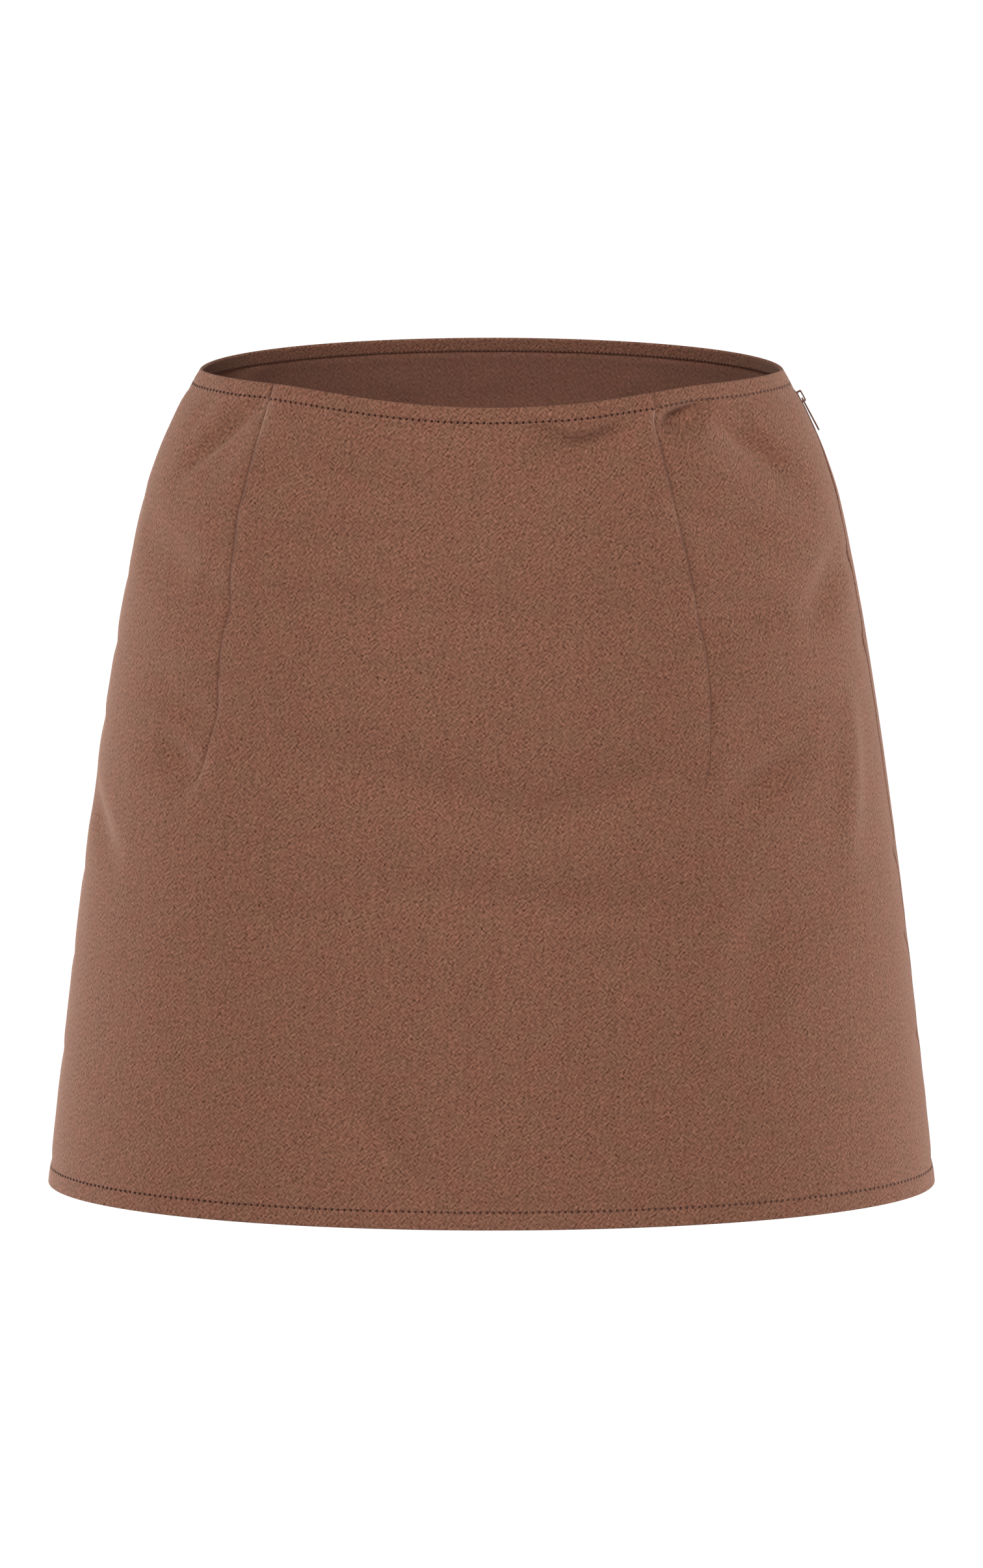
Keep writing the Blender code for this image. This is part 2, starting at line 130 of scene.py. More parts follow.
CREASES = (
    # from turn, drop, to turn, drop, half width, depth (a ridge's is negative)
    (-50, 10, -66, 37, 7, 1.5),
    (-44, 16, -61, 45, 8, -0.9),
    (-40, 32, -12, 41, 12, 1.0),
    (-48, 67, -14, 60, 11, 1.0),
    (-14, 60, 8, 31, 12, 0.8),
    (-74, 70, -54, 78, 10, 1.4),
    (-57, 92, -24, 86, 9, 1.0),
    (-24, 88, 35, 96, 10, 0.8),
    (-60, 131, -38, 135, 9, 1.1),
    (-60, 155, -49, 156, 8, 1.4),
    (-48, 150, -22, 150, 12, 1.0),
    (-22, 152, 6, 176, 15, 1.4),
    (6, 176, 27, 158, 13, 1.3),
    (36, 168, 52, 154, 9, 1.6),
    (-20, 203, 31, 217, 13, 1.0),
    (-37, 220, -20, 216, 10, 0.7),
    (8, 231, 28, 238, 11, 0.8),
    (9, 28, 24, 19, 6, 1.6),
    (8, 17, 22, 11, 6, -0.8),
    (33, 15, 43, 11, 5, 1.3),
    (46, 16, 64, 39, 9, 1.4),
    (35, 54, 57, 66, 10, 1.2),
    (36, 90, 62, 94, 8, 1.2),
    (61, 97, 73, 80, 9, 1.9),
    (36, 140, 55, 137, 9, 1.2),
    (43, 213, 37, 258, 12, 1.1),
    (41, 223, 57, 215, 9, 0.9),
    (-21, 281, -9, 331, 9, 1.0),
    (-88, 178, -69, 198, 8, 1.6),
    (68, 138, 61, 196, 9, -1.2),
    (112, 14, 128, 34, 9, 1.4),
    (-128, 12, -114, 36, 9, 1.5),
    (150, 32, 196, 40, 12, 1.0),
    (-146, 62, -104, 76, 12, 1.3),
    (104, 66, 140, 58, 11, 1.2),
    (146, 92, 204, 98, 14, -1.2),
    (100, 118, 132, 128, 11, 1.1),
    (-134, 132, -98, 124, 11, 1.2),
    (140, 168, 180, 182, 14, 1.5),
    (180, 182, 222, 164, 14, 1.4),
    (110, 206, 168, 220, 13, 0.9),
    (-150, 228, -112, 212, 12, 1.0),
    (124, 262, 134, 322, 14, 1.3),
    (-130, 276, -122, 326, 13, 1.0),
)

# Small creases that only this shell has: puckers beside the darts, under the waist and at the side seams.
FINE_CREASES = (
    # from turn, drop, to turn, drop, half width, depth
    (-47, 44, -41, 50, 3.0, 0.45),
    (-47, 78, -53, 84, 3.0, 0.40),
    (-46, 118, -40, 121, 3.0, 0.40),
    (-49, 163, -53, 172, 3.2, 0.75),
    (32, 48, 38, 52, 3.0, 0.45),
    (33, 77, 27, 81, 3.0, 0.40),
    (35, 118, 41, 116, 3.0, 0.40),
    (33, 163, 30, 174, 3.2, 0.70),
    (-30, 14, -24, 22, 3.5, 0.45),
    (-16, 13, -12, 19, 3.0, 0.35),
    (52, 11, 56, 20, 3.5, 0.45),
    (-64, 12, -70, 20, 3.5, 0.45),
    (-92, 52, -86, 58, 3.5, 0.50),
    (-93, 84, -87, 90, 3.5, 0.45),
    (-93, 112, -86, 117, 3.5, 0.45),
    (-92, 146, -86, 149, 3.5, 0.50),
    (-92, 210, -86, 214, 3.5, 0.45),
    (-92, 246, -87, 249, 3.5, 0.45),
    (-92, 288, -86, 290, 3.5, 0.45),
    (-98, 66, -104, 70, 3.5, 0.45),
    (-98, 128, -105, 131, 3.5, 0.45),
    (-97, 196, -104, 199, 3.5, 0.45),
    (-97, 268, -104, 270, 3.5, 0.40),
    (88, 200, 81, 204, 3.5, 0.50),
    (89, 236, 83, 240, 3.5, 0.45),
    (89, 280, 82, 283, 3.5, 0.45),
    (93, 214, 100, 218, 3.5, 0.45),
    (92, 262, 99, 265, 3.5, 0.40),
    (84, 76, 78, 80, 3.5, 0.45),
    (84, 112, 78, 114, 3.5, 0.40),
    (92, 92, 99, 96, 3.5, 0.45),
    (92, 140, 99, 143, 3.5, 0.40),
    (150, 14, 156, 21, 3.5, 0.40),
    (-160, 14, -166, 22, 3.5, 0.40),
    (178, 13, 183, 20, 3.0, 0.30),
    (-50, 10, -64, 34, 3.6, 1.10),
    (-45, 17, -61, 45, 8.5, 1.20),
    (48, 24, 64, 48, 11.0, 0.90),
    (6, 25, 25, 30, 9.0, 0.70),
    (34, 15, 44, 9, 3.0, 1.30),
    (8, 14, 16, 23, 3.2, 0.90),
    (16, 23, 25, 20, 3.4, 1.05),
    (47, 17, 62, 36, 4.0, 1.05),
    (-17, 300, -8, 334, 2.6, 0.50),
    (38, 170, 51, 157, 4.2, 0.95),
    (-58, 150, -49, 158, 4.0, 0.80),
    (-57, 133, -48, 139, 4.0, 0.60),
    (36, 56, 52, 64, 4.5, 0.70),
    (38, 92, 54, 93, 4.5, 0.60),
    (7, 17, 15, 22, 4.5, 0.80),
    (19, 20, 27, 16, 4.5, 0.70),
    (33, 17, 41, 13, 4.2, 1.30),
    (-47, 17, -58, 38, 5.0, 0.50),
    (42, 24, 56, 44, 9.0, 0.50),
    (-42, 34, -16, 42, 8.0, 0.80),
    (-40, 66, -12, 59, 8.0, 0.45),
    (-52, 91, -20, 86, 7.0, 0.50),
    (-20, 153, 6, 176, 10.0, 0.45),
    (6, 176, 28, 159, 9.0, 0.45),
    (-14, 203, 30, 217, 8.0, 0.50),
    (38, 92, 66, 90, 7.0, 0.50),
)

# ---- cloth, sewing and zip
CLOTH = 0.5  # one layer of the twill
FACE_DEPTH = CLOTH / 2  # middle of the panel's layer
TURNING_DEPTH = 1.18  # middle of the turned-in layer
TUCK_DEPTH = (FACE_DEPTH + TURNING_DEPTH) / 2  # middle of the raw edge, tucked between the two
INSIDE_DEPTH = TURNING_DEPTH + CLOTH / 2  # inner face of the turned-in layer
WAIST_TURNING = 7.1  # width of the turned-in waist edge at the front centre
HEM_TURNING = 8.6
WAIST_STITCH = 6.4  # distance of the topstitching from the edge there
NARROWER_BEHIND = 1.4  # how much narrower both are at the back centre
NARROWING_REACH = 6.0  # how far below them the cloth makes up for that
HEM_STITCH = 7.6
GROOVE = 0.3  # how far the topstitching sinks into the cloth
GROOVE_HALF_WIDTH = 0.7
PUCKER = 0.055  # depth of the ripples that the sewing draws
STEP_DOWN = 0.5  # how far the single layer beside the topstitching sinks towards the inside
SEAM_ROLL = 0.75  # how far the cloth rolls in at a side seam
SEAM_ROLL_WIDTH = 0.85
SEAM_JOIN = 0.02  # from a seam's middle to each of the allowances that meet behind it
SEAM_EDGE = SEAM_GAP / 2 + CLOTH / 2  # from a side seam's middle to the cloth that rolls in beside it
DART_DEPTH = 1.35  # depth of the crease that a dart's seam makes
DART_HALF_WIDTH = 0.44
DART_SWELL = 2.6  # width of the soft hollow on either side of it
SEAM_SHADE_HALF_WIDTH = 0.72  # of the painted shade along a dart, which stands in for the shadow in its seam's groove
SEAM_SHADE_ASIDE = 0.2  # how far that painted shade lies to the outer side of the dart
DART_PAINTED_SHADE = (0.85, 0.6)  # how dark the painted shade is along the right and the left dart, at the waist
ALLOWANCE = 12.0  # width of a side seam's allowance
ALLOWANCE_CLOTH = 0.5
EDGE_GAP = 0.4  # between an allowance, which runs up into the turned edges, and the fold there
DART_FOLD = 9.0  # width of a dart's fold at the waist
DART_FOLD_CLOTH = 1.0
STITCH_SHARE = 0.66  # of the distance between two stitches, how much one of them shows
HOLE_LENGTH = 0.48  # of a needle hole, as a share of that distance
HOLE_WIDTH = 0.41
WIDEST_HOLE = 1.1
OVERLOCK_THREAD = 0.24
MARK_WIDTH = 0.86  # of the twill's marks, across the diagonal
MARK_LENGTH = 2.1
MARK_STEP = 0.7  # half of the distance between two marks
MARK_DIRECTIONS = ((44, 0.72), (132, 0.55))  # degrees across the marks, and how strongly they show
FLECK = 0.78  # size of the flecks of dark and light fibre that break the marks up
FLECK_SHARE = 0.62
DARK_FIBRE = (0.42, 0.34, 0.3)  # shares of the cloth's mean colour, for red, green and blue
LIGHT_FIBRE = (2.15, 2.3, 2.4)
# Colour of the painted shade along the seams and darts, as shares of the cloth's mean colour
PAINTED_SEAM_SHADE = (0.52, 0.46, 0.44)
FACE_REACH = 0.9  # how strong the marks can be before the cloth shows a fibre's full colour
REVERSE_REACH = 1.6

ZIP_TOP = 8.0
ZIP_COIL_TOP = 19.0
ZIP_BOTTOM = 190.0
ZIP_TAPE = 0.6
ZIP_TAPE_WIDTH = 11.0
ZIP_TAPE_END = 205.0  # the tapes run on a little below the stop
ZIP_TAPE_DEPTH = 1.5 + ZIP_TAPE / 2
ZIP_TEETH_DEPTH = 3.1
ZIP_TAPE_STITCH = 5.0  # from the seam's middle to the stitching of each tape
ZIP_HALF_WIDTH = 2.0
ZIP_THREAD = 0.44  # diameter of the nylon that the coil is wound from
SLIDER_DROP = 9.2
SLIDER_LENGTH = 8.2
SLIDER_WALL = 2.0
SLIDER_DEPTH = 2.9
SLIDER_OUTLINE = (
    # distance down the seam, half width
    (0.0, 1.7),
    (0.7, 2.6),
    (2.2, 3.0),
    (4.4, 2.8),
    (6.4, 2.3),
    (7.6, 2.0),
    (8.2, 1.5),
)
NECK = (5.3, 0.8)
NECK_START = 0.5
BRIDGE_HEIGHT = 1.95
BRIDGE_WALL = 0.8
EYE_FLOOR = 0.15
EYE_HEIGHT = 1.2
PULL_LENGTH = 15.0
PULL_WIDTH = 4.0
PULL_WALL = 0.6
PULL_EYE = (2.4, 1.9)
PULL_SHOULDER = 0.8
PIVOT_CLEARANCE = 0.4
STOP_LENGTH = 3.0
STOP_WALL = 1.4

# ---- view of the photograph
PHOTO_HEIGHT = 2411  # pixels
PIXEL = 0.273 * MM  # width of a pixel at the skirt
SENSOR = 36.0  # of the camera's long side


def colour(hex_code):
    """The linear colour of an sRGB hex value such as "#8a6250"."""
    parts = [int(hex_code[i:i + 2], 16) / 255 for i in (1, 3, 5)]
    return tuple(((c + 0.055) / 1.055) ** 2.4 if c > 0.04045 else c / 12.92 for c in parts)


# ---- form of the cloth
def smooth_table(rows, at):
    """Every column of a table at values of its first column, on a smooth curve through its rows."""
    table = np.array(rows, dtype=float)
    at = np.asarray(at, dtype=float)
    place = table[:, 0]
    step = np.diff(place)
    slope = np.diff(table, axis=0) / step[:, None]
    tangent = np.empty_like(table)
    tangent[0] = slope[0]
    tangent[-1] = slope[-1]
    before = step[:-1, None]
    after = step[1:, None]
    tangent[1:-1] = (slope[:-1] * after + slope[1:] * before) / (before + after)
    i = np.clip(np.searchsorted(place, at, side="right") - 1, 0, len(step) - 1)
    width = step[i][..., None]
    t = np.clip((at - place[i]) / step[i], 0, 1)[..., None]
    start = (1 + 2 * t) * (1 - t) ** 2 * table[i] + t * (1 - t) ** 2 * width * tangent[i]
    end = t * t * (3 - 2 * t) * table[i + 1] + t * t * (t - 1) * width * tangent[i + 1]
    above = np.minimum(at - place[0], 0)[..., None] * tangent[0]
    below = np.maximum(at - place[-1], 0)[..., None] * tangent[-1]
    return np.moveaxis(start + end + above + below, -1, 0)


def wrapped(turn):
    """The same turn, from -180 to 180 degrees."""
    return (np.asarray(turn, dtype=float) + 180) % 360 - 180


def plain_points(turn, drop):
    """Points of the outer face before its creases."""
    _, half_width, front, back, roundness = smooth_table(SECTIONS, drop)
    side = np.radians(turn)
    forward = np.cos(side)
    depth = np.where(forward > 0, -front * np.abs(forward) ** roundness, -back * forward)
    return np.stack((half_width * np.sin(side), depth, -np.asarray(drop, dtype=float) + 0 * side), axis=-1)


def crease_depths(creases, turn, drop):
    """How far a table's creases press the outer face in at each place: deeper than in the solids, whose
    walls are thicker than cloth."""
    to_length = math.radians(1) * CREASE_RADIUS
    total = np.zeros(np.broadcast(turn, drop).shape)
    for start_turn, start_drop, end_turn, end_drop, half_width, depth in creases:
        along = np.array(((end_turn - start_turn) * to_length, end_drop - start_drop))
        across = wrapped(turn - start_turn) * to_length
        down = drop - start_drop
        t = np.clip((across * along[0] + down * along[1]) / (along @ along), 0, 1)
        distance = np.hypot(across - along[0] * t, down - along[1] * t)
        swell = 0.45 + 0.55 * np.sin(math.pi * t)
        total += CREASE_RELIEF * depth * swell * np.exp(-((distance / half_width) ** 2))
    return total


def outer_points(turn, drop):
    """Points of the outer face with its creases."""
    side = np.radians(turn)
    pressed = crease_depths(CREASES, turn, drop) + crease_depths(FINE_CREASES, turn, drop)
    inwards = np.stack((-np.sin(side), np.cos(side), 0 * side), axis=-1)
    return plain_points(turn, drop) + inwards * pressed[..., None]


def outward(turn, drop):
    """Unit normals of the outer face."""
    around = outer_points(turn + 0.3, drop) - outer_points(turn - 0.3, drop)
    down = outer_points(turn, drop + 0.7) - outer_points(turn, drop - 0.7)
    normal = np.cross(down, around)
    return normal / np.linalg.norm(normal, axis=-1, keepdims=True)


def waist_edge(turn):
    """The drop of the waist edge, which dips at the front centre and climbs at the back."""
    turn = wrapped(turn)
    dip = FRONT_DIP * np.maximum(0, 1 - (turn / FRONT_DIP_REACH) ** 2) ** 2
    return dip + BACK_RISE * np.minimum(0, np.cos(np.radians(turn)))


def drop_of(turn, row):
    """The drop of a row: rows follow the waist edge at the top and are level at the hem. Those of the
    turned-in waist edge lie closer together towards the back, where it is sewn narrower."""
    below = np.maximum(row - WAIST_TURNING, 0)
    share = np.minimum(row / WAIST_TURNING, 1) * np.exp(-((below / NARROWING_REACH) ** 2))
    narrower = NARROWER_BEHIND * share * (1 - np.cos(np.radians(turn))) / 2
    return row + waist_edge(turn) * (1 - row / LENGTH) - narrower


def cloth_points(turn, row, depth):
    """Points at a depth in the cloth, in metres."""
    places = (np.asarray(values, dtype=float) for values in (turn, row, depth))
    turn, row, depth = np.broadcast_arrays(*places)
    drop = drop_of(turn, row)
    return (outer_points(turn, drop) - outward(turn, drop) * depth[..., None]) * MM


def left_seam(drop):
    """The turn of the seam that holds the zip."""
    _, _, front, _, roundness = smooth_table(SECTIONS, drop)
    forward = smooth_table(LEFT_SEAM, drop)[1]
    return np.degrees(np.arccos((forward / front) ** (1 / roundness)))


def right_seam(drop):
    """The turn of the plain side seam."""
    back = smooth_table(SECTIONS, drop)[3]
    return -90.0 - np.degrees(np.arcsin(RIGHT_SEAM_BEHIND / back))


def seam_opening(drop):
    """The gap between the panels where the zip is."""
    drops, gaps = np.array(SEAM_OPENING).T
    return np.interp(drop, drops, gaps)


def dart_turn(dart, drop):
    """The turn of a dart's seam, which stays where the dart ends below it."""
    return smooth_table(dart, np.minimum(drop, dart[-1][0]))[1]


class Ring:
    """The outline of the skirt at one drop, measured along the cloth from the front centre."""

    def __init__(self, drop):
        self.turns = np.arange(-200.0, 300.0, 0.5)
        points = plain_points(self.turns, np.full_like(self.turns, drop))
        steps = np.linalg.norm(np.diff(points, axis=0), axis=1)
        travelled = np.concatenate(((0.0,), np.cumsum(steps)))
        self.lengths = travelled - np.interp(0.0, self.turns, travelled)

    def length(self, turn):
        return float(np.interp(turn, self.turns, self.lengths))

    def turn(self, lengths):
        return np.interp(lengths, self.lengths, self.turns)


# ---- meshes
def add_object(name, mesh, *materials):
    """An object of a mesh, in the scene, with its materials."""
    item = bpy.data.objects.new(name, mesh)
    for finish in materials:
        mesh.materials.append(finish)
    bpy.context.scene.collection.objects.link(item)
    return item


def grid_mesh(name, points, lengths):
    """A mesh of a grid of points, with a UV map in metres of cloth: across, and down the cloth."""
    rows, columns = points.shape[:2]
    index = np.arange(rows * columns).reshape(rows, columns)
    corners = (index[:-1, :-1], index[1:, :-1], index[1:, 1:], index[:-1, 1:])
    quads = np.stack(corners, axis=-1).reshape(-1, 4)
    mesh = bpy.data.meshes.new(name)
    mesh.from_pydata(points.reshape(-1, 3).tolist(), [], quads.tolist())
    layer = mesh.uv_layers.new(name="cloth")
    layer.data.foreach_set("uv", lengths.reshape(-1, 2)[quads.ravel()].ravel() * MM)
    mesh.shade_smooth()
    return mesh


def add_thickness(item, millimetres):
    """Gives a sheet its thickness, half to each side; the inner side takes the second material."""
    step = item.modifiers.new("Cloth thickness", "SOLIDIFY")
    step.thickness = millimetres * MM
    step.offset = 0.0
    step.material_offset = 1
    step.material_offset_rim = 0


def fold(row, depth, across, down, count):
    """A half turn of cloth, as rows and depths, from one layer round to the next."""
    angles = np.radians(np.linspace(0, 180, count))
    return [(row + down * math.sin(a), depth - across * math.cos(a)) for a in angles]


def panel_profile():
    """The path of a panel's cloth, as rows and depths: its raw waist edge, tucked in behind the turning,
    then round the waist, down the face and round the hem to the other raw edge."""
    middle = (FACE_DEPTH + TURNING_DEPTH) / 2
    edge = (TURNING_DEPTH - FACE_DEPTH) / 2
    tuck = (TURNING_DEPTH - TUCK_DEPTH) / 2
    tuck_middle = (TURNING_DEPTH + TUCK_DEPTH) / 2
    top = edge + CLOTH / 2
    end = tuck + CLOTH / 2
    path = [(row, TUCK_DEPTH) for row in (2.6, 4.6)]
    path += fold(WAIST_TURNING - end, tuck_middle, tuck, tuck, 7)
    path += [(row, TURNING_DEPTH) for row in (6.1, 5.4, 4.4, 3.0, 1.9)]
    path += fold(top, middle, -edge, -edge, 11)
    beside = (-0.6, -0.3, 0.0, 0.3, 0.6, 1.4)  # rows close to a line of topstitching
    rows = [1.7, 2.8, 4.2] + [WAIST_STITCH + gap for gap in beside] + [8.4, 9.6]
    rows += list(np.linspace(11.0, LENGTH - 12.0, 107))
    rows += [LENGTH - 10.4] + [LENGTH - HEM_STITCH - gap for gap in reversed(beside)]
    rows += [LENGTH - gap for gap in (5.8, 4.6, 3.0, 1.9)]
    path += [(row, FACE_DEPTH) for row in rows]
    path += fold(LENGTH - top, middle, edge, edge, 11)
    path += [(LENGTH - gap, TURNING_DEPTH) for gap in (1.9, 3.4, 5.4, 6.8, 7.9)]
    path += fold(LENGTH - HEM_TURNING + end, tuck_middle, -tuck, -tuck, 7)
    path += [(LENGTH - gap, TUCK_DEPTH) for gap in (6.0, 3.0)]
    return np.array(path)


EDGE_STEPS = np.array((0.0, 0.15, 0.35, 0.6, 0.9, 1.5, 2.6))
DART_STEPS = np.array((-3.4, -2.3, -1.5, -0.9, -0.5, -0.22, 0.0, 0.22, 0.5, 0.9, 1.5, 2.3, 3.4))


def columns_between(seams, darts, counts):
    """Lengths along a ring of a panel's columns, close together at its seams and darts."""
    blocks = [seams[0] + EDGE_STEPS]
    for line, count in zip(darts, counts):
        blocks.append(np.linspace(blocks[-1][-1], line + DART_STEPS[0], count)[1:-1])
        blocks.append(line + DART_STEPS)
    blocks.append(np.linspace(blocks[-1][-1], seams[1] - EDGE_STEPS[-1], counts[-1])[1:-1])
    blocks.append(seams[1] - EDGE_STEPS[::-1])
    return np.concatenate(blocks)


def zip_edge(row):
    """Distance from the zip's middle to the cloth that rolls in beside it."""
    return seam_opening(row) / 2 + CLOTH / 2


def front_lines(ring, row):
    """Lengths along a ring of the front panel's two edges and of its darts."""
    seams = (ring.length(right_seam(row)) + SEAM_EDGE, ring.length(left_seam(row)) - zip_edge(row))
    return seams, [ring.length(dart_turn(dart, row)) for dart in (RIGHT_DART, LEFT_DART)]


def back_lines(ring, row):
    """The same for the back panel, which has no darts."""
    return (ring.length(left_seam(row)) + zip_edge(row), ring.length(360 + right_seam(row)) - SEAM_EDGE), []


def pucker(along, away, reach):
    """Shallow, uneven ripples beside a row of stitching that die out away from it."""
    wave = np.sin(along / 2.9) + 0.8 * np.sin(along / 4.7 + 1.3) + 0.6 * np.sin(along / 8.3 + 0.4)
    return PUCKER * wave * np.exp(-((away / reach) ** 2))


def share_outside(depth):
    """1 on the outer layer of a panel, 0 on the layer that is turned in."""
    return np.clip((TURNING_DEPTH - depth) / (TURNING_DEPTH - FACE_DEPTH), 0, 1)


def dart_strength(row):
    """How firmly a dart is sewn at a row: it runs out over its last 12 mm."""
    return np.clip((DART_LENGTH - row) / 12.0, 0, 1)


def sink(columns, row, depth, seams, darts):
    """How far the sewing draws the cloth in: rolled edges, darts, sunk topstitching and puckers."""
    outside = share_outside(depth)
    to_seam = np.minimum(columns - seams[0], seams[1] - columns)
    roll = np.clip(1 - to_seam / SEAM_ROLL_WIDTH, 0, 1)
    sunk = SEAM_ROLL * (1 - np.sqrt(1 - roll**2)) * (1.25 * outside - 0.25)
    for dart in darts:
        aside = columns - dart
        strength = dart_strength(row) * outside
        sunk = sunk + strength * DART_DEPTH * np.exp(-np.abs(aside) / DART_HALF_WIDTH)
        sunk = sunk + strength * 0.3 * np.exp(-((aside / DART_SWELL) ** 2))
        sunk = sunk + strength * pucker(row + 9, aside, 6.0)
    from_hem = LENGTH - row - HEM_STITCH
    face = outside > 0.99
    for away in (row - WAIST_STITCH, from_hem):
        sunk = sunk + face * GROOVE * np.exp(-((away / GROOVE_HALF_WIDTH) ** 2))
        sunk = sunk + face * STEP_DOWN * np.exp(-(((away - 2.9) / 1.9) ** 2))
    ripples = pucker(row, to_seam, 9.0) + pucker(columns, row - WAIST_STITCH, 6.0)
    return sunk + face * (ripples + pucker(columns + 40, from_hem, 7.0))


def painted_shade_share(columns, row, depth, seams, darts):
    """How much painted shade the face takes along its seams, in place of the shadow in their grooves: 1 in a
    dart's seam, 0 away from the sewing.
    """
    outside = share_outside(depth)
    to_seam = np.minimum(columns - seams[0], seams[1] - columns)
    # painted shade in the rolled-in side seams
    pressed = 0.5 * np.exp(-((to_seam / SEAM_ROLL_WIDTH) ** 2)) * outside
    # painted shade along each dart
    for dart, side, painted_darkness in zip(darts, (-1, 1), DART_PAINTED_SHADE):
        strength = painted_darkness * dart_strength(row) * (1 - 0.5 * row / DART_LENGTH) * outside
        away = (columns - dart) * side - SEAM_SHADE_ASIDE
        pressed = pressed + strength * np.exp(-((away / SEAM_SHADE_HALF_WIDTH) ** 2))
    return np.minimum(pressed, 1)


def panel_grid(lines_of, counts, centre):
    """Points of a whole panel's grid, their lengths across the cloth from its centre line and down it,
    and how much painted seam shade each of them takes."""
    path = panel_profile()
    first = np.flatnonzero(path[:, 1] <= FACE_DEPTH + 0.001)[0]
    travelled = np.concatenate(((0.0,), np.cumsum(np.hypot(*np.diff(path, axis=0).T))))
    travelled += path[first, 0] - travelled[first]
    turns = []
    depths = []
    lengths = []
    pressed = []
    for (row, depth), down in zip(path, travelled):
        ring = Ring(row)
        seams, darts = lines_of(ring, row)
        columns = columns_between(seams, darts, counts)
        turns.append(ring.turn(columns))
        depths.append(depth + sink(columns, row, depth, seams, darts))
        # painted shade along the seams and darts
        pressed.append(painted_shade_share(columns, row, depth, seams, darts))
        across = columns - float(ring.length(centre))
        lengths.append(np.stack((across, np.full_like(across, down)), axis=-1))
    rows = np.repeat(path[:, :1], len(turns[0]), axis=1)
    return cloth_points(np.array(turns), rows, np.array(depths)), np.array(lengths), np.array(pressed)


def finish_piece(item, body=SKIRT):
    """Makes a piece move with its body."""
    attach(item, body)


def make_sheet(name, points, lengths, thickness, materials):
    """A piece of cloth: a sheet of a grid of points with its thickness, its materials and its cut
    size."""
    item = add_object(name, grid_mesh(name, points, lengths), *materials)
    add_thickness(item, thickness)
    finish_piece(item)
    return item


def strip_grid(path_of, rows):
    """Points of a strip inside the skirt; path_of gives the lengths along a ring and the depths of one
    row."""
    turns = []
    depths = []
    lengths = []
    for row in rows:
        ring = Ring(row)
        columns, depth = path_of(ring, row)
        turns.append(ring.turn(columns))
        depths.append(depth)
        lengths.append(np.stack((columns - columns[0], np.full_like(columns, row)), axis=-1))
    rows = np.repeat(np.array(rows)[:, None], len(turns[0]), axis=1)
    return cloth_points(np.array(turns), rows, np.array(depths)), np.array(lengths)


def ordered(columns, depth):
    """Columns from the wearer's right to the left, so that faces point outwards."""
    order = np.argsort(columns)
    return columns[order], depth[order]


def allowance_path(line_of, edge_of, side):
    """A seam allowance pressed flat behind the panel on one side of its seam."""
    steps = np.array((0.0, 0.25, 0.7, 1.5, 3.0, 5.0, 7.0, 9.0, 11.0, ALLOWANCE))
    depth = CLOTH + ALLOWANCE_CLOTH / 2 + 0.12 - 0.15 * np.exp(-steps / 0.3)
    depth += 0.1 * np.exp(-(ALLOWANCE - steps))

    def path(ring, row):
        line = ring.length(line_of(row))
        return ordered(line + side * (edge_of(row) - CLOTH / 2 + steps), depth)

    return path


def dart_fold_path(dart, side):
    """A dart's fold, pressed flat towards the front centre behind the panel."""
    shares = np.linspace(0, 1, 7)

    def path(ring, row):
        width = DART_FOLD * max(0.0, 1 - row / DART_LENGTH) ** 0.9 + 0.25
        line = ring.length(dart_turn(dart, row))
        depth = CLOTH + 0.1 + DART_FOLD_CLOTH / 2 + 0 * shares
        return ordered(line + side * width * shares, depth)

    return path


def tape_path(side):
    """One tape of the zip, from where it wraps the coil to its outer edge."""
    shares = np.array((0.0, 0.03, 0.08, 0.18, 0.35, 0.55, 0.8, 1.0))

    def path(ring, row):
        inner = np.interp(row, (ZIP_TOP, ZIP_COIL_TOP, 26.0), (1.5, 1.3, 0.2))
        aside = inner + (ZIP_TAPE_WIDTH - inner) * shares
        depth = ZIP_TAPE_DEPTH - 0.2 * np.exp(-(aside - inner) / 0.5)
        return ordered(ring.length(left_seam(row)) + side * aside, depth)

    return path


# ---- parts that repeat along a line
def tube_mesh(name, paths, radius, sides, across, closed=False):
    """Tubes along short paths that lie in planes; across is a direction out of those planes."""
    across = np.array(across, dtype=float)
    points = []
    faces = []
    angles = np.arange(sides) * 2 * math.pi / sides
    for path in paths:
        path = np.array(path, dtype=float)
        count = len(path)
        ahead = np.roll(path, -1, axis=0) - np.roll(path, 1, axis=0)
        if not closed:
            ahead[0] = path[1] - path[0]
            ahead[-1] = path[-1] - path[-2]
        ahead /= np.linalg.norm(ahead, axis=1, keepdims=True)
        side = across - ahead * (ahead @ across)[:, None]
        side /= np.linalg.norm(side, axis=1, keepdims=True)
        up = np.cross(ahead, side)
        first = len(points)
        for k in range(count):
            for a in angles:
                points.append(path[k] + radius * (side[k] * math.cos(a) + up[k] * math.sin(a)))
        for k in range(count if closed else count - 1):
            for j in range(sides):
                a = first + k * sides + j
                b = first + k * sides + (j + 1) % sides
                c = first + ((k + 1) % count) * sides + (j + 1) % sides
                d = first + ((k + 1) % count) * sides + j
                faces.append((a, b, c, d))
        if not closed:
            faces.append(tuple(first + j for j in reversed(range(sides))))
            faces.append(tuple(first + (count - 1) * sides + j for j in range(sides)))
    mesh = bpy.data.meshes.new(name)
    mesh.from_pydata([tuple(point * MM) for point in points], [], faces)
    mesh.shade_smooth()
    return mesh


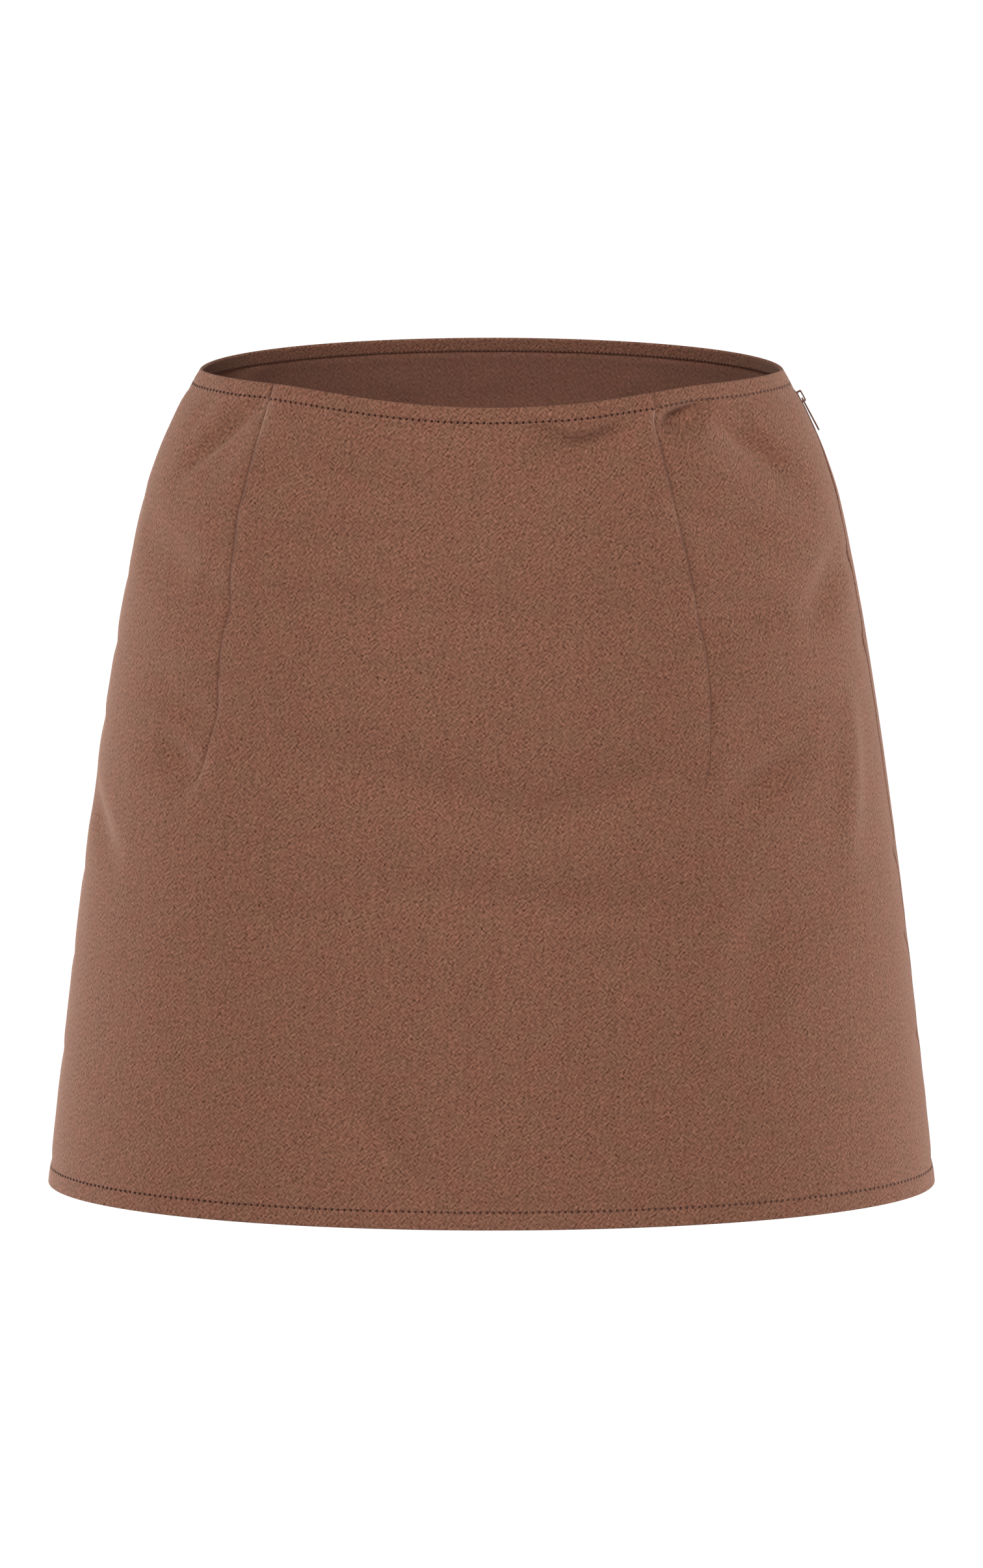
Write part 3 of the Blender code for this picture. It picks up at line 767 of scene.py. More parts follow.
def stitch_part(length, thread):
    """One stitch of thread, which dives into the cloth at both ends. X runs along the line, Z out of
    it."""
    half = length / 2
    rising = [(-1.0, -0.9), (-0.86, -0.1), (-0.55, 0.3)]
    profile = rising + [(0.0, 0.42)] + [(-x, z) for x, z in reversed(rising)]
    path = [(x * half, 0.0, z * thread) for x, z in profile]
    return tube_mesh("stitch", [path], thread / 2, 6, (0, 1, 0))


def hole_part(length, width):
    """The dimple that a needle leaves: an oval of painted shadow that follows the groove which the stitching
    draws.
    """
    angles = np.arange(12) * 2 * math.pi / 12
    rim = [(math.cos(a) * length / 2, math.sin(a) * width / 2) for a in angles]
    places = [(x, y * part) for part in (0.5, 1.0) for x, y in rim]
    heights = [0.05 + GROOVE * (1 - math.exp(-((y / GROOVE_HALF_WIDTH) ** 2))) for _, y in places]
    points = [(x * MM, y * MM, z * MM) for (x, y), z in zip(places, heights)]
    faces = [tuple(range(12))]
    faces += [(12 + k, 12 + (k + 1) % 12, (k + 1) % 12, k) for k in range(12)]
    mesh = bpy.data.meshes.new("needle_hole")
    mesh.from_pydata(points, [], faces)
    return mesh


def overlock_part(pitch, thread):
    """One loop of overlocking round a raw edge. The edge lies along X and the cloth at -Y."""
    legs = []
    for x in (0.0, pitch / 2):
        over = [(x - pitch / 2, -2.6, -0.02), (x - pitch / 4, -1.0, 0.1)]
        legs.append(over + [(x, 0.25, 0.12), (x, 0.5, -0.2), (x, 0.3, -0.55)])
    edge = [(-pitch / 2, 0.45, 0.0), (0.0, 0.52, -0.15), (pitch / 2, 0.45, 0.0)]
    return tube_mesh("overlock", legs + [edge], thread / 2, 5, (1, 0.2, 0.3))


def tooth_part(pitch):
    """One turn of the coil from each tape: two loops of nylon that mesh in the middle."""
    loops = []
    for side in (-1, 1):
        x = side * pitch / 4
        head = -side * 0.55
        heel = side * ZIP_HALF_WIDTH
        near = 0.42
        loop = [(x, head, -near), (x, head * 1.35, 0.0), (x, head, near), (x, heel * 0.45, near)]
        loop += [(x + pitch / 8, heel * 0.9, near * 0.9), (x + pitch / 4, heel, 0.0)]
        loop += [(x + pitch / 8, heel * 0.9, -near * 0.9), (x, heel * 0.45, -near)]
        loops.append(loop)
    return tube_mesh("tooth", loops, ZIP_THREAD / 2, 6, (1, 0, 0), closed=True)


def line_object(name, lines):
    """A mesh of open lines; each point keeps the direction that points out of the cloth there."""
    points = []
    outwards = []
    edges = []
    for place, normal in lines:
        first = len(points)
        points += [tuple(p) for p in place]
        outwards += [tuple(n) for n in normal]
        edges += [(first + i, first + i + 1) for i in range(len(place) - 1)]
    mesh = bpy.data.meshes.new(name)
    mesh.from_pydata(points, edges, [])
    layer = mesh.attributes.new("outwards", "FLOAT_VECTOR", "POINT")
    layer.data.foreach_set("vector", np.array(outwards).ravel())
    return add_object(name, mesh)


def repeat_tree():
    """Geometry nodes that set a part at even steps along lines, upright on the cloth."""
    tree = bpy.data.node_groups.get("Parts along a line")
    if tree:
        return tree
    tree = bpy.data.node_groups.new("Parts along a line", "GeometryNodeTree")
    tree.is_modifier = True
    sockets = (
        ("Line", "NodeSocketGeometry", None),
        ("Part", "NodeSocketObject", None),
        ("Pitch", "NodeSocketFloat", 0.0027),
        ("Sway", "NodeSocketFloat", 0.04),
        ("Seed", "NodeSocketInt", 1),
        ("Finish", "NodeSocketMaterial", None),
    )
    for name, kind, default in sockets:
        socket = tree.interface.new_socket(name, in_out="INPUT", socket_type=kind)
        if default is not None:
            socket.default_value = default
    tree.interface.new_socket("Parts", in_out="OUTPUT", socket_type="NodeSocketGeometry")
    given = add_node(tree, "NodeGroupInput").outputs
    curve = add_node(tree, "GeometryNodeMeshToCurve", {"Mesh": given["Line"]})
    inputs = {"Curve": curve, "Length": given["Pitch"]}
    steps = add_node(tree, "GeometryNodeResampleCurve", inputs, mode="LENGTH")
    inputs = {"Name": "outwards"}
    outwards = add_node(tree, "GeometryNodeInputNamedAttribute", inputs, data_type="FLOAT_VECTOR")
    inputs = {"Primary Axis": outwards, "Secondary Axis": add_node(tree, "GeometryNodeInputTangent")}
    upright = add_node(tree, "FunctionNodeAxesToRotation", inputs, primary_axis="Z", secondary_axis="X")
    back = add_node(tree, "ShaderNodeMath", {0: given["Sway"], 1: -1.0}, operation="MULTIPLY")
    inputs = {0: back, 1: given["Sway"], "Seed": given["Seed"]}
    turn = add_node(tree, "FunctionNodeRandomValue", inputs, data_type="FLOAT_VECTOR")
    inputs = {"Rotation": upright, "Rotate By": add_node(tree, "FunctionNodeEulerToRotation", {0: turn})}
    swayed = add_node(tree, "FunctionNodeRotateRotation", inputs, rotation_space="LOCAL")
    part = add_node(tree, "GeometryNodeObjectInfo", {"Object": given["Part"], "As Instance": True})
    inputs = {"Points": steps, "Instance": part.outputs["Geometry"], "Rotation": swayed}
    placed = add_node(tree, "GeometryNodeInstanceOnPoints", inputs)
    real = add_node(tree, "GeometryNodeRealizeInstances", {"Geometry": placed})
    finished = add_node(tree, "GeometryNodeSetMaterial", {"Geometry": real, "Material": given["Finish"]})
    add_node(tree, "NodeGroupOutput", {"Parts": finished})
    return tree


def repeat_along(name, lines, part, pitch, finish, sway=0.04, seed=1):
    """A plain mesh of one part repeated along lines, in metres."""
    tree = repeat_tree()
    line = line_object(name + "_line", lines)
    model = add_object(name + "_part", part)
    modifier = line.modifiers.new("Parts along a line", "NODES")
    modifier.node_group = tree
    values = {"Part": model, "Pitch": pitch * MM, "Sway": sway, "Seed": seed, "Finish": finish}
    for socket in tree.interface.items_tree:
        if socket.in_out == "INPUT" and socket.name in values:
            modifier[socket.identifier] = values[socket.name]
    evaluated = line.evaluated_get(bpy.context.evaluated_depsgraph_get())
    mesh = bpy.data.meshes.new_from_object(evaluated)
    mesh.name = name
    item = bpy.data.objects.new(name, mesh)
    bpy.context.scene.collection.objects.link(item)
    for used in (line, model):
        bpy.data.objects.remove(used, do_unlink=True)
    return item


def cloth_line(lines_of, row, inside, shift=0.0, step=0.9):
    """A line round one panel at a row, on its face or on the inside of its turning."""
    ring = Ring(row)
    seams, darts = lines_of(ring, row)
    columns = np.arange(seams[0] + 0.4 + shift, seams[1] - 0.4, step)
    depth = TURNING_DEPTH if inside else FACE_DEPTH
    sunk = sink(columns, row, depth, seams, darts)
    surface = sunk + INSIDE_DEPTH if inside else sunk
    turn = ring.turn(columns)
    normal = outward(turn, drop_of(turn, row))
    return cloth_points(turn, row, surface), -normal if inside else normal


def edge_line(path_of, rows, last, downwards):
    """A line down or up the raw edge of a strip, facing into the skirt."""
    turns = []
    depths = []
    for row in rows:
        ring = Ring(row)
        columns, depth = path_of(ring, row)
        pick = -1 if last else 0
        turns.append(float(ring.turn(columns[pick])))
        depths.append(depth[pick])
    turns = np.array(turns)
    rows = np.array(rows)
    order = slice(None) if downwards else slice(None, None, -1)
    normal = -outward(turns, drop_of(turns, rows))
    return cloth_points(turns, rows, np.array(depths) + ALLOWANCE_CLOTH / 2)[order], normal[order]


# ---- hard pieces of the zip
def raised_mesh(name, shape, step):
    """The mesh of a flat shape with its thickness; step goes from one face to the other. Raising leaves the
    faces in a chance order, so they are sorted, and every run gives the same mesh."""
    raised = bmesh.ops.extrude_face_region(shape, geom=shape.faces[:])
    moved = [item for item in raised["geom"] if isinstance(item, bmesh.types.BMVert)]
    bmesh.ops.translate(shape, verts=moved, vec=step)
    bmesh.ops.recalc_face_normals(shape, faces=shape.faces)
    shape.verts.index_update()
    faces = []
    for face in shape.faces:
        corners = [vert.index for vert in face.verts]
        first = corners.index(min(corners))
        faces.append(corners[first:] + corners[:first])
    mesh = bpy.data.meshes.new(name)
    mesh.from_pydata([tuple(vert.co) for vert in shape.verts], [], sorted(faces))
    shape.free()
    return mesh


def plate_mesh(name, outline, hole, low, high, place):
    """A flat plate with a hole, from outlines in one plane; place turns (u, v, w) into a point."""
    shape = bmesh.new()
    edges = []
    for loop in (outline, hole):
        corners = [shape.verts.new(place(u, v, low)) for u, v in loop]
        edges += [shape.edges.new((a, b)) for a, b in zip(corners, corners[1:] + corners[:1])]
    bmesh.ops.triangle_fill(shape, use_beauty=True, use_dissolve=False, edges=edges)
    return raised_mesh(name, shape, place(0, 0, high) - place(0, 0, low))


def rounded_box(low, high, radius, steps=4):
    """The outline of a rectangle with round corners."""
    outline = []
    corners = (
        (high[0] - radius, high[1] - radius, 0),
        (low[0] + radius, high[1] - radius, 90),
        (low[0] + radius, low[1] + radius, 180),
        (high[0] - radius, low[1] + radius, 270),
    )
    for x, y, start in corners:
        for k in range(steps + 1):
            a = math.radians(start + 90 * k / steps)
            outline.append((x + radius * math.cos(a), y + radius * math.sin(a)))
    return outline


def on_seam(drop):
    """A function that places a point on the zip's seam, from millimetres down the seam, to the back and
    out of the cloth."""
    drops = np.array((drop, drop + SLIDER_LENGTH))
    upper, lower = outer_points(left_seam(drops), drops)
    down = Vector((lower[0] - upper[0], 0.0, lower[2] - upper[2])).normalized()
    back = Vector((0.0, 1.0, 0.0))
    turned = Matrix((down, back, down.cross(back))).transposed().to_4x4()
    frame_here = Matrix.Translation(Vector(upper) * MM) @ turned

    def place(u, v, w):
        return frame_here @ (Vector((u, v, w)) * MM)

    return place


def add_bevel(item, width):
    """Rounds the edges of a cast piece by a width in millimetres."""
    step = item.modifiers.new("Rounded edges", "BEVEL")
    step.width = width * MM
    step.segments = 2
    step.limit_method = "ANGLE"
    step.angle_limit = math.radians(30)
    item.data.shade_smooth()


def slider_mesh(place):
    """The slider's body inside the cloth, wide at its mouth and narrow where the coil leaves it."""
    shape = bmesh.new()
    loop = [(x, -y) for x, y in SLIDER_OUTLINE] + [(x, y) for x, y in reversed(SLIDER_OUTLINE)]
    corners = [shape.verts.new(place(x, y, -SLIDER_DEPTH - SLIDER_WALL)) for x, y in loop]
    shape.faces.new(corners)
    return raised_mesh("zip_slider_body", shape, place(0, 0, SLIDER_WALL) - place(0, 0, 0))


def bridge_mesh(place):
    """The blade that stands through the seam, with the eye that holds the pull."""
    end = NECK_START + NECK[0]
    outline = rounded_box((NECK_START, -SLIDER_DEPTH - SLIDER_WALL / 2), (end, BRIDGE_HEIGHT), 0.7)
    eye = (NECK_START + BRIDGE_WALL, EYE_FLOOR)
    hole = rounded_box(eye, (end - BRIDGE_WALL, EYE_FLOOR + EYE_HEIGHT), 0.35)
    half = NECK[1] / 2
    return plate_mesh("zip_slider_bridge", outline, hole, -half, half, lambda u, v, w: place(u, w, v))


def pull_outline():
    """The pull tab's outline: a narrow shoulder that widens to a round end."""
    round_end = PULL_WIDTH / 2
    neck = PULL_EYE[1] / 2 + PULL_SHOULDER
    half = [(-PULL_WALL / 2, neck - 0.55), (-PULL_WALL / 2 + 0.12, neck - 0.22), (0.1, neck)]
    half += [(PULL_EYE[0] + PULL_SHOULDER, neck - 0.05), (PULL_LENGTH - round_end - 3.0, round_end - 0.12)]
    centre = PULL_LENGTH - round_end
    for k in range(9):
        a = math.radians(90 * k / 9)
        half.append((centre + round_end * math.sin(a), round_end * math.cos(a)))
    return half + [(PULL_LENGTH, 0.0)] + [(x, -y) for x, y in reversed(half)]


def join_meshes(name, meshes, finish):
    """One object of several meshes."""
    shape = bmesh.new()
    for mesh in meshes:
        shape.from_mesh(mesh)
    joined = bpy.data.meshes.new(name)
    shape.to_mesh(joined)
    shape.free()
    return add_object(name, joined, finish)


# ---- materials
def add_node(tree, kind, inputs=None, **settings):
    """Adds a node. Settings are its own options. Inputs are plain values, other nodes' outputs, or other
    nodes, of which the first output is used."""
    node = tree.nodes.new(kind)
    for name, value in settings.items():
        setattr(node, name, value)
    for key, value in (inputs or {}).items():
        if isinstance(value, bpy.types.Node):
            value = value.outputs[0]
        if isinstance(value, bpy.types.NodeSocket):
            tree.links.new(value, node.inputs[key])
        else:
            node.inputs[key].default_value = value
    return node


def new_material(name, **shader_inputs):
    """A material with only its shader and output; returns it with its tree and shader."""
    finish = bpy.data.materials.new(name)
    finish.use_nodes = True
    tree = finish.node_tree
    shader = tree.nodes["Principled BSDF"]
    for key, value in shader_inputs.items():
        shader.inputs[key.replace("_", " ")].default_value = value
    return finish, tree, shader


def crossing_marks(tree, in_mm):
    """Short marks along both diagonals of the weave: a value that goes up and down by about 0.2 round
    zero. Each direction is drawn out noise less the same noise one step aside, which leaves marks of one
    width."""
    total = 0.0
    for angle, weight in MARK_DIRECTIONS:
        inputs = {"Vector": in_mm, "Angle": -math.radians(angle)}
        turned = add_node(tree, "ShaderNodeVectorRotate", inputs, rotation_type="Z_AXIS")
        sides = []
        for step in (0.0, MARK_STEP):
            inputs = {0: turned, 1: (step + angle, angle, 0.0)}
            aside = add_node(tree, "ShaderNodeVectorMath", inputs, operation="ADD")
            inputs = {0: aside, 1: (1 / MARK_WIDTH, 1 / MARK_LENGTH, 1.0)}
            drawn = add_node(tree, "ShaderNodeVectorMath", inputs, operation="MULTIPLY")
            inputs = {"Vector": drawn, "Scale": 1.0, "Detail": 0.0}
            sides.append(add_node(tree, "ShaderNodeTexNoise", inputs, noise_dimensions="2D"))
        marks = add_node(tree, "ShaderNodeMath", {0: sides[0], 1: sides[1]}, operation="SUBTRACT")
        total = add_node(tree, "ShaderNodeMath", {0: marks, 1: weight, 2: total}, operation="MULTIPLY_ADD")
    inputs = {"Vector": in_mm, "Scale": 1 / FLECK}
    flecks = add_node(tree, "ShaderNodeTexVoronoi", inputs, voronoi_dimensions="2D")
    even = add_node(tree, "ShaderNodeMath", {0: flecks.outputs["Color"], 1: 0.5}, operation="SUBTRACT")
    total = add_node(tree, "ShaderNodeMath", {0: even, 1: FLECK_SHARE, 2: total}, operation="MULTIPLY_ADD")
    inputs = {"Vector": in_mm, "Scale": 0.32, "Detail": 1.0}
    uneven = add_node(tree, "ShaderNodeTexNoise", inputs, noise_dimensions="2D")
    inputs = {"Value": uneven, "From Min": 0.3, "From Max": 0.7, "To Min": 0.8, "To Max": 1.3}
    strength = add_node(tree, "ShaderNodeMapRange", inputs)
    return add_node(tree, "ShaderNodeMath", {0: total, 1: strength}, operation="MULTIPLY")


def tinted(base, factors):
    """A colour with each of its channels made stronger or weaker."""
    return (*(c * f for c, f in zip(base, factors)), 1.0)


def twill(name, base, reach):
    """Brushed melange twill of mixed wool: dark and light fibres are spun together and woven in broken
    diagonals. The eye sees short crossing marks 1 to 2 mm long, faint warp streaks, patches that lean to
    red or to olive, and a matt surface whose fuzz catches light at grazing angles. Single threads are
    too fine to show. A greater reach makes the marks calmer."""
    finish = bpy.data.materials.get(name)
    if finish:
        return finish
    finish, tree, shader = new_material(name, Roughness=0.9, Sheen_Weight=0.34, Sheen_Roughness=0.42)
    shader.inputs["Specular IOR Level"].default_value = 0.2
    shader.inputs["Sheen Tint"].default_value = (*colour("#f0cdb9"), 1.0)
    cloth = add_node(tree, "ShaderNodeUVMap", uv_map="cloth")
    in_mm = add_node(tree, "ShaderNodeVectorMath", {0: cloth, "Scale": 1 / MM}, operation="SCALE")
    marks = crossing_marks(tree, in_mm)
    inputs = {0: in_mm, 1: (0.45, 0.006, 1.0)}
    along_warp = add_node(tree, "ShaderNodeVectorMath", inputs, operation="MULTIPLY")
    inputs = {"Vector": along_warp, "Scale": 1.0, "Detail": 2.0}
    streaks = add_node(tree, "ShaderNodeTexNoise", inputs, noise_dimensions="2D")
    shade = add_node(tree, "ShaderNodeMath", {0: streaks, 1: 0.14, 2: marks}, operation="MULTIPLY_ADD")
    inputs = {"Value": shade, "From Min": 0.07 - reach, "From Max": 0.07 + reach}
    inputs = {0: add_node(tree, "ShaderNodeMapRange", inputs), 6: tinted(base, DARK_FIBRE)}
    tone = add_node(tree, "ShaderNodeMix", {**inputs, 7: tinted(base, LIGHT_FIBRE)}, data_type="RGBA")
    inputs = {"Vector": in_mm, "Scale": 0.09, "Detail": 3.0, "Roughness": 0.6}
    heather = add_node(tree, "ShaderNodeTexNoise", inputs, noise_dimensions="2D")
    lean = add_node(tree, "ShaderNodeMapRange", {"Value": heather, "From Min": 0.3, "From Max": 0.7})
    inputs = {0: lean, 6: (1.03, 0.98, 0.99, 1.0), 7: (0.97, 1.02, 1.0, 1.0)}
    hue = add_node(tree, "ShaderNodeMix", inputs, data_type="RGBA")
    inputs = {0: 1.0, 6: tone.outputs[2], 7: hue.outputs[2]}
    mixed = add_node(tree, "ShaderNodeMix", inputs, data_type="RGBA", blend_type="MULTIPLY")
    # Painted shade: the pressed attribute darkens the cloth along the seams and darts, for the shadow in
    # their grooves.
    pressed = add_node(tree, "ShaderNodeAttribute", attribute_name="pressed")
    inputs = {0: pressed.outputs["Fac"], 6: mixed.outputs[2], 7: tinted(base, PAINTED_SEAM_SHADE)}
    seam_shaded = add_node(tree, "ShaderNodeMix", inputs, data_type="RGBA")
    tree.links.new(seam_shaded.outputs[2], shader.inputs["Base Color"])
    bump = add_node(tree, "ShaderNodeBump", {"Strength": 1.0, "Distance": 0.015 * MM, "Height": marks})
    tree.links.new(bump.outputs[0], shader.inputs["Normal"])
    return finish


def shade_by(tree, shader, share, base, low, high):
    """Shades a colour between two strengths of itself."""
    inputs = {0: share, 6: tinted(base, (low,) * 3), 7: tinted(base, (high,) * 3)}
    tone = add_node(tree, "ShaderNodeMix", inputs, data_type="RGBA")
    tree.links.new(tone.outputs[2], shader.inputs["Base Color"])


def mottle(tree, shader, base, low, high, scale, detail=2.0):
    """Shades a colour unevenly over the piece, and returns the noise that does it."""
    place = add_node(tree, "ShaderNodeTexCoord").outputs["Object"]
    noise = add_node(tree, "ShaderNodeTexNoise", {"Vector": place, "Scale": scale, "Detail": detail})
    shade_by(tree, shader, noise, base, low, high)
    return noise


def sewing_thread(base):
    """Spun polyester thread dyed to match the cloth, set darker as painted shade of the groove that it lies
    in: soft sheen, and a slight change of shade from stitch to stitch."""
    finish, tree, shader = new_material("spun_polyester_thread", Roughness=0.62, Sheen_Weight=0.15)
    mottle(tree, shader, base, 0.8, 1.2, 0.4 / MM, 1.0)
    return finish


def pierced_cloth(base):
    """The inside of a needle hole: the same fibres, in shadow, so nearly black brown and fully matt."""
    finish, tree, shader = new_material("pierced_twill_in_shadow", Roughness=1.0, Specular_IOR_Level=0.0)
    mottle(tree, shader, base, 0.6, 1.5, 0.3 / MM)
    return finish


def tape_weave(base):
    """Woven polyester zip tape: fine ribs across its width, drawn 0.9 mm apart, matt with a slight
    lustre."""
    finish, tree, shader = new_material("woven_polyester_tape", Roughness=0.7, Sheen_Weight=0.1)
    cloth = add_node(tree, "ShaderNodeUVMap", uv_map="cloth")
    scale = 1 / (0.9 * MM) / 20 * math.pi
    inputs = {"Vector": cloth, "Scale": scale, "Distortion": 0.6, "Detail": 1.0}
    ribs = add_node(tree, "ShaderNodeTexWave", inputs, bands_direction="Y").outputs["Fac"]
    shade_by(tree, shader, ribs, base, 0.75, 1.2)
    bump = add_node(tree, "ShaderNodeBump", {"Strength": 1.0, "Distance": 0.05 * MM, "Height": ribs})
    tree.links.new(bump.outputs[0], shader.inputs["Normal"])
    return finish


def drawn_nylon(base):
    """Drawn nylon monofilament, heat set into a coil: smooth, a little translucent, with soft
    highlights."""
    finish, tree, shader = new_material("drawn_nylon_coil", Roughness=0.34, IOR=1.53, Subsurface_Weight=0.1)
    shader.inputs["Subsurface Scale"].default_value = 0.3 * MM
    mottle(tree, shader, base, 0.85, 1.15, 0.12 / MM)
    return finish


def lacquered_zinc(base):
    """Die-cast zinc under baked coloured lacquer: half gloss, faintly uneven, with a clear top layer."""
    finish = bpy.data.materials.get("lacquered_cast_zinc")
    if finish:
        return finish
    gloss = {"Roughness": 0.7, "Coat_Weight": 0.05, "Coat_Roughness": 0.2}
    finish, tree, shader = new_material("lacquered_cast_zinc", **gloss)
    noise = mottle(tree, shader, base, 0.8, 1.25, 0.5 / MM, 3.0)
    bump = add_node(tree, "ShaderNodeBump", {"Strength": 1.0, "Distance": 0.02 * MM, "Height": noise})
    tree.links.new(bump.outputs[0], shader.inputs["Normal"])
    return finish


def paper_sweep():
    """A pale matt paper floor. Behind the skirt it is lit from its back, so that it reads as plain
    white."""
    finish, tree, shader = new_material("pale_paper_sweep", Roughness=0.95)
    mottle(tree, shader, (1.0, 1.0, 1.0), 0.48, 0.52, 2.0)
    place = add_node(tree, "ShaderNodeTexCoord").outputs["Object"]
    back = add_node(tree, "ShaderNodeSeparateXYZ", {0: place}).outputs["Y"]
    inputs = {"Value": back, "From Min": 0.7, "From Max": 1.3, "To Max": 0.95}
    behind = add_node(tree, "ShaderNodeMapRange", inputs)
    shader.inputs["Emission Color"].default_value = (1.0, 1.0, 1.0, 1.0)
    tree.links.new(behind.outputs[0], shader.inputs["Emission Strength"])
    return finish


# ---- settings
def colour_setting(name, text, hex_code):
    """A colour that can be changed in the panel."""
    return bpy.props.FloatVectorProperty(
        name=name, description=text, size=3, min=0.0, max=1.0, subtype="COLOR", default=colour(hex_code)
    )


def number_setting(name, text, value, **options):
    """A number that can be changed in the panel."""
    return bpy.props.FloatProperty(name=name, description=text, default=value, **options)


def length_setting(name, text, millimetres):
    """A length on the cloth that can be changed in the panel."""
    options = {"min": 0.0, "precision": 5, "unit": "LENGTH", "subtype": "DISTANCE"}
    return number_setting(name, text, millimetres * MM, **options)


class SkirtClothSettings(bpy.types.PropertyGroup):
    face_colour: colour_setting("Face", "Mean colour of the twill's right side", "#774f3e")
    reverse_colour: colour_setting("Reverse", "Mean colour of the twill's wrong side", "#7a5242")


class SkirtSewingSettings(bpy.types.PropertyGroup):
    front_pitch: length_setting("Front stitch", "Length of a stitch round the front waist", 2.7)
    back_pitch: length_setting("Back stitch", "Length of a stitch round the back waist", 1.8)
    hem_pitch: length_setting("Hem stitch", "Length of a stitch round the hem", 2.7)
    overlock_pitch: length_setting("Overlock", "Distance between overlocking loops", 2.2)
    thread: length_setting("Thread", "Diameter of the sewing thread", 0.3)
    # The thread's colour is its dye, darkened with painted shade of the stitching groove.
    thread_and_shade_colour: colour_setting("Thread", "Colour of the sewing thread", "#6a4536")
    # The needle holes are ovals of painted shadow; this is the colour of that shadow.
    hole_shadow_colour: colour_setting("Needle holes", "Colour of the cloth inside a needle hole", "#38211a")


class SkirtZipSettings(bpy.types.PropertyGroup):
    tooth_pitch: length_setting("Tooth pitch", "Distance between two turns of the coil", 1.15)
    tape_colour: colour_setting("Tape", "Colour of the zip's tapes", "#54382c")
    coil_colour: colour_setting("Coil", "Colour of the nylon coil", "#4d3226")
    lacquer_colour: colour_setting("Lacquer", "Colour of the slider, pull and stop", "#6b4535")


class SkirtStageSettings(bpy.types.PropertyGroup):
    distance: number_setting("Camera distance", "From the camera to the skirt", 6.0, min=1.0, unit="LENGTH")
    elevation: number_setting(
        "Camera elevation", "Angle above the horizon", math.radians(8.5), subtype="ANGLE", unit="ROTATION"
    )
    target: number_setting("Target height", "Height that the camera looks at", -0.1756, unit="LENGTH")
    floor: number_setting("Floor height", "Height of the floor below the held skirt", -1.05, unit="LENGTH")
    front_power: number_setting("Front light", "Power of the large front light", 69.0, unit="POWER")
    fill_power: number_setting("Fill light", "Power of the wide soft light in front", 21.0, unit="POWER")
    side_power: number_setting("Side lights", "Power of each light behind the sides", 35.0, unit="POWER")
    top_power: number_setting("Top light", "Power of the light above", 1.5, unit="POWER")
    sky: number_setting("Room light", "Brightness of the white room round the skirt", 0.24, min=0.0)


# ---- operators
def cloth_finishes(settings):
    """The twill's right side and its wrong side, which is calmer."""
    face = twill("melange_twill_face", settings.face_colour, FACE_REACH)
    return face, twill("melange_twill_reverse", settings.reverse_colour, REVERSE_REACH)


class SKIRT_OT_panels(bpy.types.Operator):
    """Makes the front and back panels, each one folded sheet with its waist and hem turned in"""

    bl_idname = "skirt.panels"
    bl_label = "Panels"

    def execute(self, context):
        materials = cloth_finishes(context.scene.skirt_cloth)
        panels = (("front", front_lines, (38, 74, 42), 0.0), ("back", back_lines, (138,), 180.0))
        for side, lines_of, counts, centre in panels:
            points, lengths, pressed = panel_grid(lines_of, counts, centre)
            item = make_sheet(f"{side}_cloth", points, lengths, CLOTH, materials)
            # The pressed attribute carries the painted shade along the seams and darts.
            layer = item.data.attributes.new("pressed", "FLOAT", "POINT")
            layer.data.foreach_set("value", pressed.ravel())
            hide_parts(f"{side}_panel", f"{side}_waist_turning", f"{side}_hem_turning")
        return {"FINISHED"}


def seam_sides():
    """Name, path and side of the four allowances of the side seams."""
    sides = []
    for seam, line_of, edge_of in (
        ("right", lambda row: 360 + right_seam(row), lambda row: CLOTH / 2 + SEAM_JOIN),
        ("left", left_seam, lambda row: CLOTH / 2 + max(SEAM_JOIN, (seam_opening(row) - SEAM_GAP) / 2)),
    ):
        for panel, side in (("front", -1), ("back", 1)):
            if seam == "right":
                side = -side
            sides.append((f"{seam}_seam_allowance_{panel}", allowance_path(line_of, edge_of, side), side))
    return sides


def allowance_rows(waist_gap, hem_gap):
    """Rows down a side seam's allowance, from a distance below the waist edge to one above the hem
    edge."""
    return list(np.linspace(waist_gap, LENGTH - hem_gap, 70))


class SKIRT_OT_allowances(bpy.types.Operator):
    """Makes what is pressed flat behind the panels: the side seams' allowances and the darts' folds"""

    bl_idname = "skirt.allowances"
    bl_label = "Seam allowances and dart folds"

    def execute(self, context):
        face, reverse = cloth_finishes(context.scene.skirt_cloth)
        rows = allowance_rows(EDGE_GAP, EDGE_GAP)
        for name, path, _ in seam_sides():
            points, lengths = strip_grid(path, rows)
            make_sheet(name, points, lengths, ALLOWANCE_CLOTH, (reverse, face))
        rows = list(np.linspace(WAIST_TURNING + 0.2, DART_LENGTH - 3.0, 36))
        for name, dart, side in (("right_dart_fold", RIGHT_DART, 1), ("left_dart_fold", LEFT_DART, -1)):
            points, lengths = strip_grid(dart_fold_path(dart, side), rows)
            layers = (reverse, reverse)
            make_sheet(name, points, lengths, DART_FOLD_CLOTH, layers)
        return {"FINISHED"}


